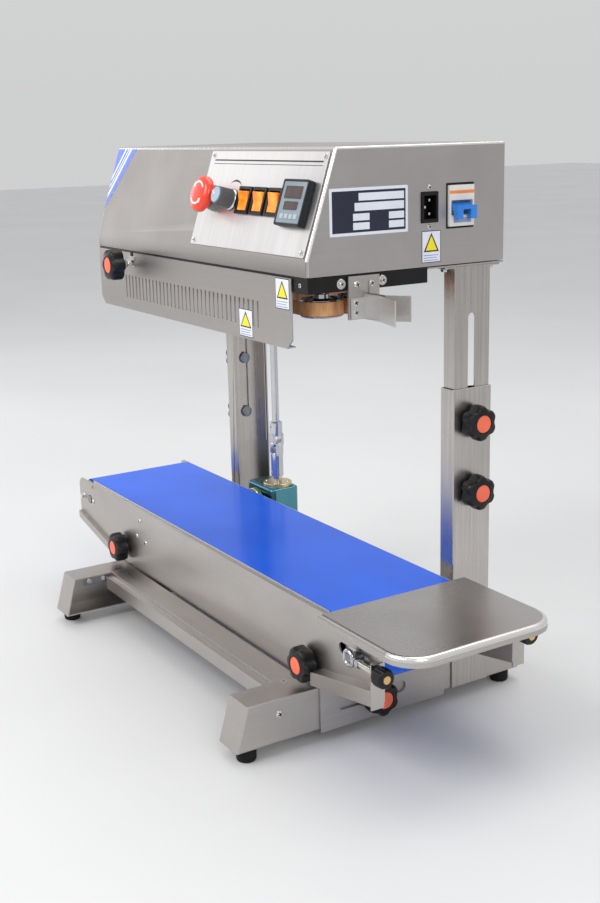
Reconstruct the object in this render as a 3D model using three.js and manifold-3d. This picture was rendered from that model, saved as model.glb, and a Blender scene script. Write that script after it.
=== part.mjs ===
// Continuous band sealer: a sealing head on two clamped posts above a belt conveyor on a sliding carriage.
// Millimetres, +Z up. +X is along the machine towards the bag infeed, -Y is the operator's side.
// Inside the machine group X = 0 is the hood's infeed end panel, Y = 0 its front lower face, Z = 0 the floor.
import * as THREE from "three";
import { mergeVertices } from "three/addons/utils/BufferGeometryUtils.js";
import Module from "manifold-3d";

const wasm = await Module();
wasm.setup();

// ---- driving dimensions ----
const CENTRE = { x: -241, y: 95.5 }; // middle of the footprint
const GAP = 0.3; // clearance between neighbouring pieces
const SHEET = 2; // sheet thickness of the frame

const MID_X = -257.25; // the two feet and posts mirror each other about this plane
const FOOT = { outer: -2.3, width: 40, bottom: 14.4, top: 64.6 };
const FOOT_Y = { frontTop: -83, frontBottom: -97.5, rearTop: 274, rearBottom: 288.5 };
const PAD = { radius: 11, x: -14.7, y: [-80, 269] };
const POST = { front: 185.3, rear: 238.9, top: 366.8, flange: 22 };
const POST_BOLTS = [250, 329]; // heights of the clamp bolts
const BOLT_Y = 211.8;
const SLOT_TOP = 449; // top end of the inner posts' slots
const INNER_POST_BOTTOM = 206;

const HOOD = { left: -514, depth: 254, bottom: 503.5, fold: 519.5, top: 628.5, slopeY: 37 };
const PLATE = { bottom: 500.6, top: 502.4, front: 150 }; // the hood's base plate behind the seal housing
const DECK = { left: -513, rear: 149.5, bottom: 487, top: 503 };
const SEAL_Y = 70; // plane in which the two bands meet
const WHEEL = { radius: 22.2, right: -46, left: -462, bottom: 457, top: 475.5 };
const BAND = { bottom: 459.2, top: 473.8, thick: 0.8 };
const GUARD = { left: -510, right: -28, low: 428.5, high: 501, chamfer: 10 };
const VENTS = { first: -429, pitch: 9.79, count: 35, half: 1.6, low: 444, high: 472 };
const PRESS = { x: -408, z: 488, back: -15, tip: 22, stud: 3.2 }; // the pressure screw, knob to tip

const SIDE = { left: -656, right: 117, front: 4.9, top: 153.7, bottom: 65.2 };
const SKIRT = { left: 4, depth: 14.4 };
const CONVEYOR_MID_Y = 89.7;
const BELT = { width: 158, top: 156.7, thick: 1.5 };
const ROLLER = { radius: 28.2, z: 127, tail: -619, tension: 70 };
const DRIVE = { radius: 20, x: -434, z: 134.7 };
const SNUB = { radius: 8, reach: 31, drop: 16 }; // fixed bars that wrap the belt round the drive roller
const SHAFT = { x: -411.5, y: 203, radius: 4.9, top: 508 };
const TRAY = { left: 19, right: 174, front: -8.4, rear: 187.6, top: 159, corner: 35 };
const KNOB = { radius: 20, height: 17, lobes: 6 };
const LIFT_X = [2 * MID_X + 16.8, -16.8];
const LIFT_Z = 89.4;
const SLIDE = { y: 77, z: 38 }; // the knob that clamps the carriage to the right foot

// The control plate and what it carries are in the slope's own frame: u along X, v up the slope from
// the fold, w out of the slope.
const CONTROL = { left: -247, right: -5, low: 3, high: 110, thick: 1.2 };
const STOP = { u: -211, v: 56 };
const SPEED = { u: -175.5, v: 56 };
const THERMO = { left: -63.5, right: -16, low: 32, high: 79.5 };
const SWITCHES = { starts: [-160, -128.7, -97.4], width: 27, low: 41, high: 71 };
// A rocker's outline across its pivot; at rest it is tilted so that its upper end stands out.
const ROCKER = { tilt: THREE.MathUtils.degToRad(12), half: 10.2, pivot: 1.2, top: 5, waist: 3.2, foot: -4.5 };
const INLET = { y: [141, 163], z: [548.5, 580.5], flange: [539.5, 589.5] };
const BREAKER = { y: [174.5, 210], z: [542, 587], lever: 563 };

const GUIDE = { bottom: 457.5, top: 483.5, thick: 1.2, from: 3.2, bend: 32 };
const GUIDE_FRONT = { y: 66.5, reach: 72, flare: 10.5 };
const GUIDE_REAR = { y: 72, reach: 52, flare: 16 };
const GEARBOX = { front: 175, rear: 224, bottom: 103, top: 163, left: -458, right: -388 };
const JOINT = { low: 201, mid: 222, high: 254, radius: 8.7 };
const TENSION_REACH = 8.5; // how far outside the side plates the tension screws run

// ---- looks ----
const LOOKS = {
  steel: { color: 0xa8a29c, roughness: 0.38, metalness: 0.9 },
  chrome: { color: 0xd4d6d9, roughness: 0.12, metalness: 1 },
  blackPaint: { color: 0x17171a, roughness: 0.4, metalness: 0.2 },
  blackPlastic: { color: 0x1a1b1d, roughness: 0.5, metalness: 0 },
  rubber: { color: 0x141414, roughness: 0.85, metalness: 0 },
  belt: { color: 0x1d54e8, roughness: 0.22, metalness: 0 },
  ptfe: { color: 0xb06f35, roughness: 0.45, metalness: 0 },
  orange: { color: 0xff6a1e, roughness: 0.3, metalness: 0 },
  red: { color: 0xd6301d, roughness: 0.35, metalness: 0 },
  grey: { color: 0x7d8288, roughness: 0.5, metalness: 0 },
  white: { color: 0xe9e8e4, roughness: 0.5, metalness: 0 },
  blue: { color: 0x2f57c8, roughness: 0.4, metalness: 0 },
  teal: { color: 0x5c8d94, roughness: 0.35, metalness: 0.6 },
  castGrey: { color: 0x6a6d70, roughness: 0.6, metalness: 0.7 },
  aluminium: { color: 0xb9bbbd, roughness: 0.4, metalness: 0.9 },
  copper: { color: 0xb87345, roughness: 0.35, metalness: 0.9 },
};

// ---- solids ----
function solid(geometry) {
  const bare = geometry.index ? geometry.toNonIndexed() : geometry.clone();
  bare.deleteAttribute("normal");
  bare.deleteAttribute("uv");
  const merged = mergeVertices(bare, 1e-4);
  return new wasm.Manifold(
    new wasm.Mesh({
      numProp: 3,
      vertProperties: new Float32Array(merged.attributes.position.array),
      triVerts: new Uint32Array(merged.index.array),
    }),
  );
}

function geometryOf(manifold) {
  const mesh = manifold.getMesh();
  const geometry = new THREE.BufferGeometry();
  geometry.setAttribute("position", new THREE.BufferAttribute(mesh.vertProperties, 3));
  geometry.setIndex(new THREE.BufferAttribute(mesh.triVerts, 1));
  geometry.computeVertexNormals();
  return geometry;
}

const join = (first, ...rest) => rest.reduce((whole, piece) => whole.add(piece), first);
const cut = (first, ...tools) => tools.reduce((whole, tool) => whole.subtract(tool), first);

function block([x0, x1], [y0, y1], [z0, z1]) {
  const box = new THREE.BoxGeometry(x1 - x0, y1 - y0, z1 - z0);
  return solid(box.translate((x0 + x1) / 2, (y0 + y1) / 2, (z0 + z1) / 2));
}

// Turns a solid built along +Z so that it is built along the named axis: a profile's (u, v) becomes
// (y, z) for X, (x, z) for Y and (x, y) for Z.
const ALONG = {
  x: new THREE.Matrix4().set(0, 0, 1, 0, 1, 0, 0, 0, 0, 1, 0, 0, 0, 0, 0, 1),
  y: new THREE.Matrix4().set(1, 0, 0, 0, 0, 0, -1, 0, 0, 1, 0, 0, 0, 0, 0, 1),
  z: new THREE.Matrix4(),
};

// An outline, a THREE.Shape or a list of points, extruded along an axis between two places.
function prism(outline, axis, [from, to], curveSegments = 6) {
  const shape = outline instanceof THREE.Shape
    ? outline
    : new THREE.Shape(outline.map(([u, v]) => new THREE.Vector2(u, v)));
  const depth = to - from;
  const body = new THREE.ExtrudeGeometry(shape, { depth, bevelEnabled: false, curveSegments });
  body.translate(0, 0, axis === "y" ? -to : from);
  return solid(body.applyMatrix4(ALONG[axis]));
}

// A body of revolution from (radius, place) points, about an axis through the (u, v) centre.
function turned(profile, axis, [u, v], sides = 16) {
  const points = profile.map(([r, p]) => new THREE.Vector2(r, p));
  const body = new THREE.LatheGeometry(points, sides);
  body.rotateX(Math.PI / 2);
  if (axis === "y") body.rotateX(Math.PI);
  body.translate(u, v, 0);
  return solid(body.applyMatrix4(ALONG[axis]));
}

function rod(axis, centre, radius, [from, to], sides = radius < 7 ? 12 : 16) {
  const half = (to - from) / 2;
  const body = new THREE.CylinderGeometry(radius, radius, half * 2, sides);
  body.rotateX(Math.PI / 2);
  body.translate(centre[0], centre[1], axis === "y" ? -(from + half) : from + half);
  return solid(body.applyMatrix4(ALONG[axis]));
}

function slot(axis, [u0, u1], [v0, v1], span) {
  const along = u1 - u0 > v1 - v0;
  const radius = Math.min(u1 - u0, v1 - v0) / 2;
  const shape = new THREE.Shape();
  if (along) {
    shape.absarc(u1 - radius, (v0 + v1) / 2, radius, -Math.PI / 2, Math.PI / 2);
    shape.absarc(u0 + radius, (v0 + v1) / 2, radius, Math.PI / 2, Math.PI * 1.5);
  } else {
    shape.absarc((u0 + u1) / 2, v1 - radius, radius, 0, Math.PI);
    shape.absarc((u0 + u1) / 2, v0 + radius, radius, Math.PI, Math.PI * 2);
  }
  return prism(shape, axis, span);
}

const mirrorX = (piece, plane) => piece.mirror([1, 0, 0]).translate([2 * plane, 0, 0]);
const mirrorY = (piece, plane) => piece.mirror([0, 1, 0]).translate([0, 2 * plane, 0]);

// The outline of a star knob: a disc with lobes, as one closed shape.
function starOutline(radius, lobes) {
  const shape = new THREE.Shape();
  const steps = lobes * 4;
  for (let i = 0; i < steps; i++) {
    const angle = (i / steps) * Math.PI * 2;
    const reach = radius - (radius * 0.07) * (1 - Math.cos(angle * lobes));
    const point = [reach * Math.cos(angle), reach * Math.sin(angle)];
    if (i === 0) shape.moveTo(...point);
    else shape.lineTo(...point);
  }
  return shape;
}

// A star knob at the origin, opening along +Z from z = 0, with a hub, a cap and a stud along -Z.
function starKnob({ hub, stud, studRadius, head = 0 }) {
  const { radius, height, lobes } = KNOB;
  const star = prism(starOutline(radius, lobes), "z", [hub, hub + height]);
  const pieces = [
    star,
    rod("z", [0, 0], 10, [0, hub + 1]),
    rod("z", [0, 0], 9.5, [hub + height - 1, hub + height + 1]),
    rod("z", [0, 0], studRadius, [-stud, 1]),
  ];
  if (head) pieces.push(rod("z", [0, 0], studRadius * 2, [-stud - head, -stud]));
  return join(...pieces);
}

const facing = (piece, direction, place) => {
  const turn = new THREE.Quaternion().setFromUnitVectors(
    new THREE.Vector3(0, 0, 1),
    new THREE.Vector3(...direction),
  );
  const matrix = new THREE.Matrix4().compose(
    new THREE.Vector3(...place),
    turn,
    new THREE.Vector3(1, 1, 1),
  );
  return piece.transform(matrix.elements);
};

// ---- the group ----
const root = new THREE.Group();
const machine = new THREE.Group();
machine.position.set(-CENTRE.x, -CENTRE.y, 0);
root.add(machine);

function add(name, look, piece, group = machine) {
  const mesh = new THREE.Mesh(geometryOf(piece), new THREE.MeshStandardMaterial(LOOKS[look]));
  mesh.name = name;
  group.add(mesh);
  return mesh;
}

// ---- base: feet, rails, rubber pads and outer posts ----
function foot() {
  const { outer, width, bottom, top } = FOOT;
  const { frontTop, frontBottom, rearTop, rearBottom } = FOOT_Y;
  const inner = outer - width;
  const profile = [[frontTop, top], [frontBottom, bottom], [rearBottom, bottom], [rearTop, top]];
  const hollow = [
    [frontTop + SHEET, top - SHEET],
    [frontBottom + SHEET + 0.4, bottom + SHEET],
    [rearBottom - SHEET - 0.4, bottom + SHEET],
    [rearTop - SHEET, top - SHEET],
  ];
  return cut(
    prism(profile, "x", [inner, outer]),
    prism(hollow, "x", [inner - 1, outer - SHEET]),
    rod("x", [SLIDE.y, SLIDE.z], 4.4, [outer - 5, outer + 5]),
  );
}

function outerPost() {
  const { front, rear, top, flange } = POST;
  const web = FOOT.outer + GAP;
  const face = web + SHEET;
  const shell = cut(
    block([face - flange, face], [front, rear], [FOOT.top + GAP, top]),
    block([face - flange - 1, web], [front + SHEET, rear - SHEET], [FOOT.top, top + 1]),
  );
  const tail = block([web, face], [front, rear], [FOOT.bottom + GAP, FOOT.top + 1]);
  const holes = POST_BOLTS.map((z) => rod("x", [BOLT_Y, z], 4.3, [web - 1, face + 1]));
  return cut(join(shell, tail), ...holes);
}

function pads() {
  const rightX = PAD.x;
  const leftX = 2 * MID_X - PAD.x;
  const [frontY, rearY] = PAD.y;
  const places = {
    pad_front_right: [rightX, frontY],
    pad_rear_right: [rightX, rearY],
    pad_front_left: [leftX, frontY],
    pad_rear_left: [leftX, rearY],
  };
  for (const [name, centre] of Object.entries(places)) {
    const top = FOOT.bottom - GAP;
    const profile = [[0, 0], [PAD.radius - 1, 0], [PAD.radius, 2], [PAD.radius, top], [0, top]];
    add(name, "rubber", turned(profile, "z", centre));
  }
}

function frontRail() {
  const front = -38;
  const step = -30;
  const rear = 2;
  const top = FOOT.top;
  const ledge = 60;
  const low = 42;
  const outline = [
    [front, low], [front, ledge], [step, ledge], [step, top], [rear, top], [rear, low],
    [rear - SHEET, low], [rear - SHEET, top - SHEET], [step + SHEET, top - SHEET],
    [step + SHEET, ledge - SHEET], [front + SHEET, ledge - SHEET], [front + SHEET, low],
  ];
  return prism(outline, "x", railSpan());
}

function rearRail() {
  const front = 242;
  const rear = 270;
  const top = FOOT.top;
  const outline = [
    [front, 30], [front, top], [rear, top], [rear, 30], [rear - SHEET, 30],
    [rear - SHEET, top - SHEET], [front + SHEET, top - SHEET], [front + SHEET, 30],
  ];
  return prism(outline, "x", railSpan());
}

function railSpan() {
  const right = FOOT.outer - FOOT.width - GAP;
  return [2 * MID_X - right, right];
}

function buildBase() {
  const rightFoot = foot();
  add("foot_right", "steel", rightFoot);
  add("foot_left", "steel", mirrorX(rightFoot, MID_X));
  add("rail_front", "steel", frontRail());
  add("rail_rear", "steel", rearRail());
  pads();
  const rightPost = outerPost();
  add("post_outer_right", "steel", rightPost);
  add("post_outer_left", "steel", mirrorX(rightPost, MID_X));
}

// ---- post clamps: a star knob outside each post, its bolt's round head inside the inner post ----
function buildPostClamps() {
  const face = FOOT.outer + GAP + SHEET;
  const innerFace = FOOT.outer - SHEET;
  const reach = face + GAP - (innerFace - GAP);
  POST_BOLTS.forEach((z, i) => {
    const level = ["lower", "upper"][i];
    const knob = starKnob({ hub: 3, stud: reach, studRadius: 4, head: 3.5 });
    const right = facing(knob, [1, 0, 0], [face + GAP, BOLT_Y, z]);
    add(`clamp_right_${level}`, "blackPlastic", right);
    add(`clamp_left_${level}`, "blackPlastic", mirrorX(right, MID_X));
  });
}

// ---- head: hood, deck, posts, guard ----
function hoodOutline(inset) {
  const { depth, bottom, fold, top, slopeY } = HOOD;
  const slant = inset * 0.4;
  return [
    [inset, bottom - (inset ? 1 : 0)],
    [depth - inset, bottom - (inset ? 1 : 0)],
    [depth - inset, top - inset],
    [slopeY + inset - slant, top - inset],
    [inset, fold - slant],
  ];
}

// The panel's own frame: u along X, v up the slope from the fold, w out of the slope.
const slopeAngle = Math.atan2(HOOD.slopeY, HOOD.top - HOOD.fold);
const onSlope = (piece) => {
  const matrix = new THREE.Matrix4().makeBasis(
    new THREE.Vector3(1, 0, 0),
    new THREE.Vector3(0, Math.sin(slopeAngle), Math.cos(slopeAngle)),
    new THREE.Vector3(0, -Math.cos(slopeAngle), Math.sin(slopeAngle)),
  );
  matrix.setPosition(0, 0, HOOD.fold);
  return piece.transform(matrix.elements);
};

const switchHole = (start, margin) =>
  block(
    [start + margin, start + SWITCHES.width - margin],
    [SWITCHES.low + margin, SWITCHES.high - margin],
    [-30, 30],
  );

const thermoHole = () =>
  block(
    [THERMO.left + 1, THERMO.right - 1],
    [THERMO.low + 1, THERMO.high - 1],
    [-30, 30],
  );

function controlHoles() {
  return [
    rod("z", [STOP.u, STOP.v], 11.3, [-30, 30]),
    rod("z", [SPEED.u, SPEED.v], 4.3, [-30, 30]),
    thermoHole(),
    ...SWITCHES.starts.map((start) => switchHole(start, 2)),
  ];
}

function hood() {
  const { left } = HOOD;
  const shell = cut(
    prism(hoodOutline(0), "x", [left, 0]),
    prism(hoodOutline(SHEET), "x", [left + SHEET, -SHEET]),
  );
  const endHoles = [
    block([-5, 5], INLET.y, INLET.z),
    block([-5, 5], [BREAKER.y[0] + 1, BREAKER.y[1] - 1], [BREAKER.z[0] + 1, BREAKER.z[1] - 1]),
  ];
  return cut(shell, ...controlHoles().map(onSlope), ...endHoles);
}

// The black housing that hangs below the hood along its front and carries the bands.
function deck() {
  const { left, rear, bottom, top } = DECK;
  const box = cut(
    block([left, 0], [1, rear], [bottom, top]),
    block([left + 3, -3], [4, rear - 3], [bottom - 1, top - 3]),
  );
  const shaftHoles = wheelPlaces().map(({ x, y }) => rod("z", [x, y], 4.5, [bottom, top + 1], 12));
  const studWay = rod("y", [PRESS.x, PRESS.z], PRESS.stud + 0.6, [0, 5]);
  return cut(box, ...shaftHoles, studWay);
}

// The hood's base plate, to which the posts are bolted.
function basePlate() {
  const { bottom, top, front } = PLATE;
  const sheet = block([HOOD.left + 0.5, -0.5], [front, HOOD.depth - 0.5], [bottom, top]);
  return cut(sheet, driveWay([bottom - 1, top + 1]));
}

function wheelPlaces() {
  const { left, right, radius } = WHEEL;
  const offset = radius + BAND.thick + 0.2;
  return [
    { name: "wheel_front_right", x: right, y: SEAL_Y - offset },
    { name: "wheel_rear_right", x: right, y: SEAL_Y + offset },
    { name: "wheel_front_left", x: left, y: SEAL_Y - offset },
    { name: "wheel_rear_left", x: left, y: SEAL_Y + offset },
  ];
}

// A band wheel on its shaft, which runs up through the deck.
function wheel(x, y) {
  const { radius, bottom, top } = WHEEL;
  const profile = [
    [0, bottom], [radius + 0.5, bottom], [radius + 0.5, BAND.bottom - 0.4],
    [radius - 0.3, BAND.bottom - 0.2], [radius - 0.3, BAND.top + 0.2],
    [radius + 0.5, BAND.top + 0.4], [radius + 0.5, top], [8, top], [8, top + 5],
    [4, top + 5], [4, DECK.top + 9], [0, DECK.top + 9],
  ];
  return turned(profile, "z", [x, y], 16);
}

function stadium(x0, x1, y, radius) {
  const shape = new THREE.Shape();
  shape.absarc(x1, y, radius, -Math.PI / 2, Math.PI / 2);
  shape.absarc(x0, y, radius, Math.PI / 2, Math.PI * 1.5);
  return shape;
}

function band(y) {
  const { left, right, radius } = WHEEL;
  const span = [BAND.bottom, BAND.top];
  return cut(
    prism(stadium(left, right, y, radius + BAND.thick), "z", span, 8),
    prism(stadium(left, right, y, radius), "z", [span[0] - 1, span[1] + 1], 8),
  );
}

// A block of a seal bar: it hangs from the deck inside a band's loop and bears on its sealing run.
function sealBlock([x0, x1], side, fins) {
  const near = SEAL_Y + side * (BAND.thick + 0.6);
  const far = near + side * 13;
  const span = [Math.min(near, far), Math.max(near, far)];
  const body = block([x0, x1], span, [BAND.bottom + 1, BAND.top + 3]);
  const hanger = block([x0 + 12, x0 + 20], [span[0] + 3, span[1] - 3], [BAND.top + 2, DECK.top - 3 - GAP]);
  const second = block([x1 - 20, x1 - 12], [span[0] + 3, span[1] - 3], [BAND.top + 2, DECK.top - 3 - GAP]);
  const grooves = [];
  for (let i = 1; i < fins; i++) {
    const x = x0 + ((x1 - x0) * i) / fins;
    const depth = [far - side * 6, far].sort((a, b) => a - b);
    grooves.push(block([x - 1.4, x + 1.4], depth, [BAND.bottom, BAND.top + 3.2]));
  }
  return cut(join(body, hanger, second), ...grooves);
}

// A seal bar: a plain heater block, then a grooved cooler block, on one tie that spans both.
function sealBar(side) {
  const near = SEAL_Y + side * (BAND.thick + 3.6);
  const far = near + side * 7;
  const span = [Math.min(near, far), Math.max(near, far)];
  const tie = block([-318, -142], span, [BAND.top + 6, BAND.top + 9]);
  return join(sealBlock([-330, -240], side, 0), sealBlock([-220, -130], side, 9), tie);
}

function guard() {
  const { left, right, low, high, chamfer } = GUARD;
  const sheet = [-1.2, 0.3];
  const outline = [
    [left, high], [left, low + chamfer], [left + chamfer, low], [right - chamfer, low],
    [right, low + chamfer], [right, high],
  ];
  const lip = block([left + chamfer, right - chamfer], [sheet[0], 9], [low, low + 1.5]);
  const tab = block([left + 40, right - 40], [sheet[0], 0.7], [high - 8, high]);
  const vents = [];
  for (let i = 0; i < VENTS.count; i++) {
    const x = VENTS.first + i * VENTS.pitch;
    vents.push(block([x - VENTS.half, x + VENTS.half], [-5, 5], [VENTS.low, VENTS.high]));
  }
  const knobWay = block([PRESS.x - 4, PRESS.x + 4], [-5, 5], [PRESS.z - 5, high + 1]);
  return cut(join(prism(outline, "y", sheet), lip, tab), ...vents, knobWay);
}

// The pressure screw: a sprung stud that passes through the guard, with a star knob.
function pressureKnob() {
  const knob = starKnob({ hub: 3, stud: PRESS.tip - PRESS.back, studRadius: PRESS.stud });
  return facing(knob, [0, -1, 0], [PRESS.x, PRESS.back, PRESS.z]);
}

function innerPost() {
  const { front, rear } = POST;
  const face = FOOT.outer;
  const inset = SHEET + GAP;
  const top = PLATE.bottom - GAP;
  const shell = cut(
    block([face - 18, face], [front + inset, rear - inset], [INNER_POST_BOTTOM, top]),
    block([face - 19, face - SHEET], [front + inset + SHEET, rear - inset - SHEET], [0, 600]),
  );
  const way = slot("x", [BOLT_Y - 4.75, BOLT_Y + 4.75], [POST_BOLTS[0] - 5, SLOT_TOP], [face - 5, face + 5]);
  const tabs = [front + inset - 13, rear - inset - 0.5].map((y) =>
    block([face - 18, face], [y, y + 13.5], [top - SHEET, top]),
  );
  return join(cut(shell, way), ...tabs);
}

// The pair of flared guides that lead a bag's mouth into the bands: the rear one is welded to the
// bracket on the deck's end, the front one is screwed to it.

function guideStrip({ y, reach, flare }, side) {
  const { bottom, top, thick, from, bend } = GUIDE;
  const outer = y + side * thick;
  const line = [
    [from, y], [bend, y], [reach, y + side * flare], [reach, y + side * (flare + thick * 1.2)],
    [bend - side * 0.3, outer], [from, outer],
  ];
  return prism(side > 0 ? line : line.reverse(), "z", [bottom, top]);
}

function rearGuide() {
  const { bottom, top } = GUIDE;
  const bracket = [[48, top - 2], [86, top - 2], [86, top + 18], [48, top + 18]];
  const leg = block([GAP, 2.8], [48, 66], [bottom, top - 1]);
  const cheek = block([GAP + 1, GUIDE.from + 1], [72.5, 84], [bottom + 1, top + 12]);
  return join(prism(bracket, "x", [GAP, 2.8]), leg, cheek, guideStrip(GUIDE_REAR, 1));
}

function frontGuide() {
  const cheek = block([GUIDE.from, GUIDE.from + GUIDE.thick], [50, 66.2], [GUIDE.bottom + 1, GUIDE.top - 4]);
  return join(guideStrip(GUIDE_FRONT, -1), cheek);
}

// The head's gear case, with an open way through it for the drive shaft's top end.
function headGears() {
  const low = DECK.top + GAP;
  const casing = join(
    block([-452, -360], [112, 238], [low, low + 46]),
    block([-446, -366], [118, 232], [low + 45, low + 52]),
  );
  return cut(casing, driveWay([low - 1, low + 60]));
}

// The slotted way in which the drive shaft stands, as the conveyor slides across the machine.
const driveWay = (span) =>
  slot("z", [SHAFT.x - 9, SHAFT.x + 9], [SHAFT.y - 49, SHAFT.y + 22], span);

function motor() {
  const axis = [150, DECK.top + 38];
  const base = block([-330, -210], [axis[0] - 26, axis[0] + 26], [DECK.top + GAP, DECK.top + 14]);
  return join(
    rod("x", axis, 32, [-345, -205], 24),
    rod("x", axis, 22, [-362, -344], 24),
    rod("x", axis, 29, [-206, -193], 24),
    base,
  );
}

// ---- controls ----
function controlPanel() {
  const { left, right, low, high, thick } = CONTROL;
  const plate = block([left, right], [low, high], [GAP, GAP + thick]);
  return onSlope(join(cut(plate, ...controlHoles()), stopCollar()));
}

function switchBlock() {
  const top = GAP + CONTROL.thick + GAP;
  const bezels = SWITCHES.starts.map((start) => {
    const end = start + SWITCHES.width;
    const flange = block([start, end], [SWITCHES.low, SWITCHES.high], [top, top + 3]);
    const barrel = block([start + 2.4, end - 2.4], [SWITCHES.low + 2.4, SWITCHES.high - 2.4], [-12, top + 1]);
    const pocket = block([start + 3.6, end - 3.6], [SWITCHES.low + 3.6, SWITCHES.high - 3.6], [-9, top + 5]);
    return cut(join(flange, barrel), pocket);
  });
  const first = SWITCHES.starts[0] + 2.4;
  const last = SWITCHES.starts[2] + SWITCHES.width - 2.4;
  const tie = block([first, last], [SWITCHES.low + 6, SWITCHES.high - 6], [-14, -11]);
  return onSlope(join(...bezels, tie));
}

// A rocker, at rest with its upper end tilted out of its bezel: it pivots along X about its middle.

function rocker(start) {
  const mid = (SWITCHES.low + SWITCHES.high) / 2;
  const { tilt, half, pivot, top, waist, foot } = ROCKER;
  const upright = [[-half, top], [-half, 1], [-3, foot], [3, foot], [half, 1], [half, top], [0, waist]];
  const outline = upright.map(([v, w]) => [
    mid + v * Math.cos(tilt) - w * Math.sin(tilt),
    pivot + v * Math.sin(tilt) + w * Math.cos(tilt),
  ]);
  return onSlope(prism(outline, "x", [start + 4.2, start + SWITCHES.width - 4.2]));
}

function thermostat() {
  const top = GAP + CONTROL.thick + GAP;
  const { left, right, low, high } = THERMO;
  const bezel = block([left, right], [low, high], [top, top + 8]);
  const barrel = block([left + 2, right - 2], [low + 2, high - 2], [-60, top + 1]);
  const window = block([left + 5, right - 5], [low + 6, high - 5], [top + 7, top + 9]);
  return onSlope(cut(join(bezel, barrel), window));
}

// The stop button's collar, clamped in the plate's hole.
function stopCollar() {
  const face = GAP + CONTROL.thick;
  const profile = [
    [7.3, -14], [11, -14], [11, face - 0.6], [14.5, face - 0.6], [14.5, face + 7], [12.5, face + 9],
    [7.3, face + 9], [7.3, -14],
  ];
  return turned(profile, "z", [STOP.u, STOP.v]);
}

function stopButton() {
  const base = 16.5;
  const profile = [
    [0, -10], [7, -10], [7, base], [19.2, base], [20, base + 2], [20, base + 6], [17.5, base + 9.5],
    [0, base + 11],
  ];
  return onSlope(turned(profile, "z", [STOP.u, STOP.v], 20));
}

function speedKnob() {
  const base = GAP + CONTROL.thick + GAP;
  const profile = [
    [0, -8], [4, -8], [4, base], [12, base], [12, base + 3], [11, base + 4], [9.8, base + 20],
    [8.8, base + 22], [0, base + 22],
  ];
  return onSlope(turned(profile, "z", [SPEED.u, SPEED.v]));
}

function inlet() {
  const { y, z } = INLET;
  const ymid = (y[0] + y[1]) / 2;
  const zmid = (z[0] + z[1]) / 2;
  const back = -SHEET - GAP;
  const flange = block([back - 2.3, back], [ymid - 12, ymid + 12], INLET.flange);
  const barrel = block([-24, 2], [y[0] + 0.4, y[1] - 0.4], [z[0] + 0.4, z[1] - 0.4]);
  const socket = block([-15, 5], [y[0] + 3, y[1] - 3], [z[0] + 4, z[1] - 4]);
  const pins = [-1, 0, 1].map((i) =>
    block([-16, -4], [ymid + (i ? 2 : -4), ymid + (i ? 4 : -2)], [zmid + i * 7 - 1, zmid + i * 7 + 1]),
  );
  return join(cut(join(flange, barrel), socket), ...pins);
}

function breaker() {
  const { y, z, lever } = BREAKER;
  const body = block([-60, 4], [y[0] + 1.3, y[1] - 1.3], [z[0] + 1.3, z[1] - 1.3]);
  const window = block([-7, 6], [y[0] + 3.7, y[1] - 3.7], [lever - 8, lever + 7]);
  return cut(body, window);
}

function breakerToggle() {
  const mid = (BREAKER.y[0] + BREAKER.y[1]) / 2;
  const { lever } = BREAKER;
  const half = 13.2;
  const drum = rod("y", [-1, lever], 4.6, [mid - half, mid + half]);
  const bar = block([0, 12.5], [mid - half, mid + half], [lever - 3.5, lever + 2]);
  const legs = block([6.5, 12.5], [mid - half, mid + half], [lever - 12, lever - 3]);
  const notch = block([5.5, 14], [mid - 5, mid + 5], [lever - 14, lever - 2]);
  return cut(join(drum, bar, legs), notch);
}

function buildHead() {
  add("hood", "steel", hood());
  add("base_plate", "steel", basePlate());
  add("seal_housing", "blackPaint", deck());
  add("guard", "steel", guard());
  const post = innerPost();
  add("post_inner_right", "steel", post);
  add("post_inner_left", "steel", mirrorX(post, MID_X));
  for (const { name, x, y } of wheelPlaces()) add(name, "chrome", wheel(x, y));
  const offset = WHEEL.radius + BAND.thick + 0.2;
  add("band_front", "ptfe", band(SEAL_Y - offset));
  add("band_rear", "ptfe", band(SEAL_Y + offset));
  add("seal_bar_front", "aluminium", sealBar(-1));
  add("seal_bar_rear", "aluminium", sealBar(1));
  add("pressure_knob", "blackPlastic", pressureKnob());
  add("guide_front", "steel", frontGuide());
  add("guide_rear", "steel", rearGuide());
  add("gear_motor", "castGrey", join(headGears(), motor()));
  add("control_panel", "steel", controlPanel());
  add("switch_block", "blackPlastic", switchBlock());
  SWITCHES.starts.forEach((start, i) => add(`rocker_${i + 1}`, "orange", rocker(start)));
  add("temperature_controller", "blackPlastic", thermostat());
  add("stop_button", "red", stopButton());
  add("speed_knob", "grey", speedKnob());
  add("power_inlet", "blackPlastic", inlet());
  add("breaker", "white", breaker());
  add("breaker_toggle", "blue", breakerToggle());
}

// ---- conveyor ----
// The belt's path seen from the front, anticlockwise: wheels inside the loop turn it left and have a
// positive radius, bars outside the loop turn it right and have a negative one.
const beltPulleys = () => {
  const snub = -(SNUB.radius + BELT.thick + 2 * GAP);
  return [
    { x: ROLLER.tail, z: ROLLER.z, r: ROLLER.radius },
    { x: DRIVE.x - SNUB.reach, z: DRIVE.z - SNUB.drop, r: snub },
    { x: DRIVE.x, z: DRIVE.z, r: DRIVE.radius },
    { x: DRIVE.x + SNUB.reach, z: DRIVE.z - SNUB.drop, r: snub },
    { x: ROLLER.tension, z: ROLLER.z, r: ROLLER.radius },
  ];
};

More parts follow.
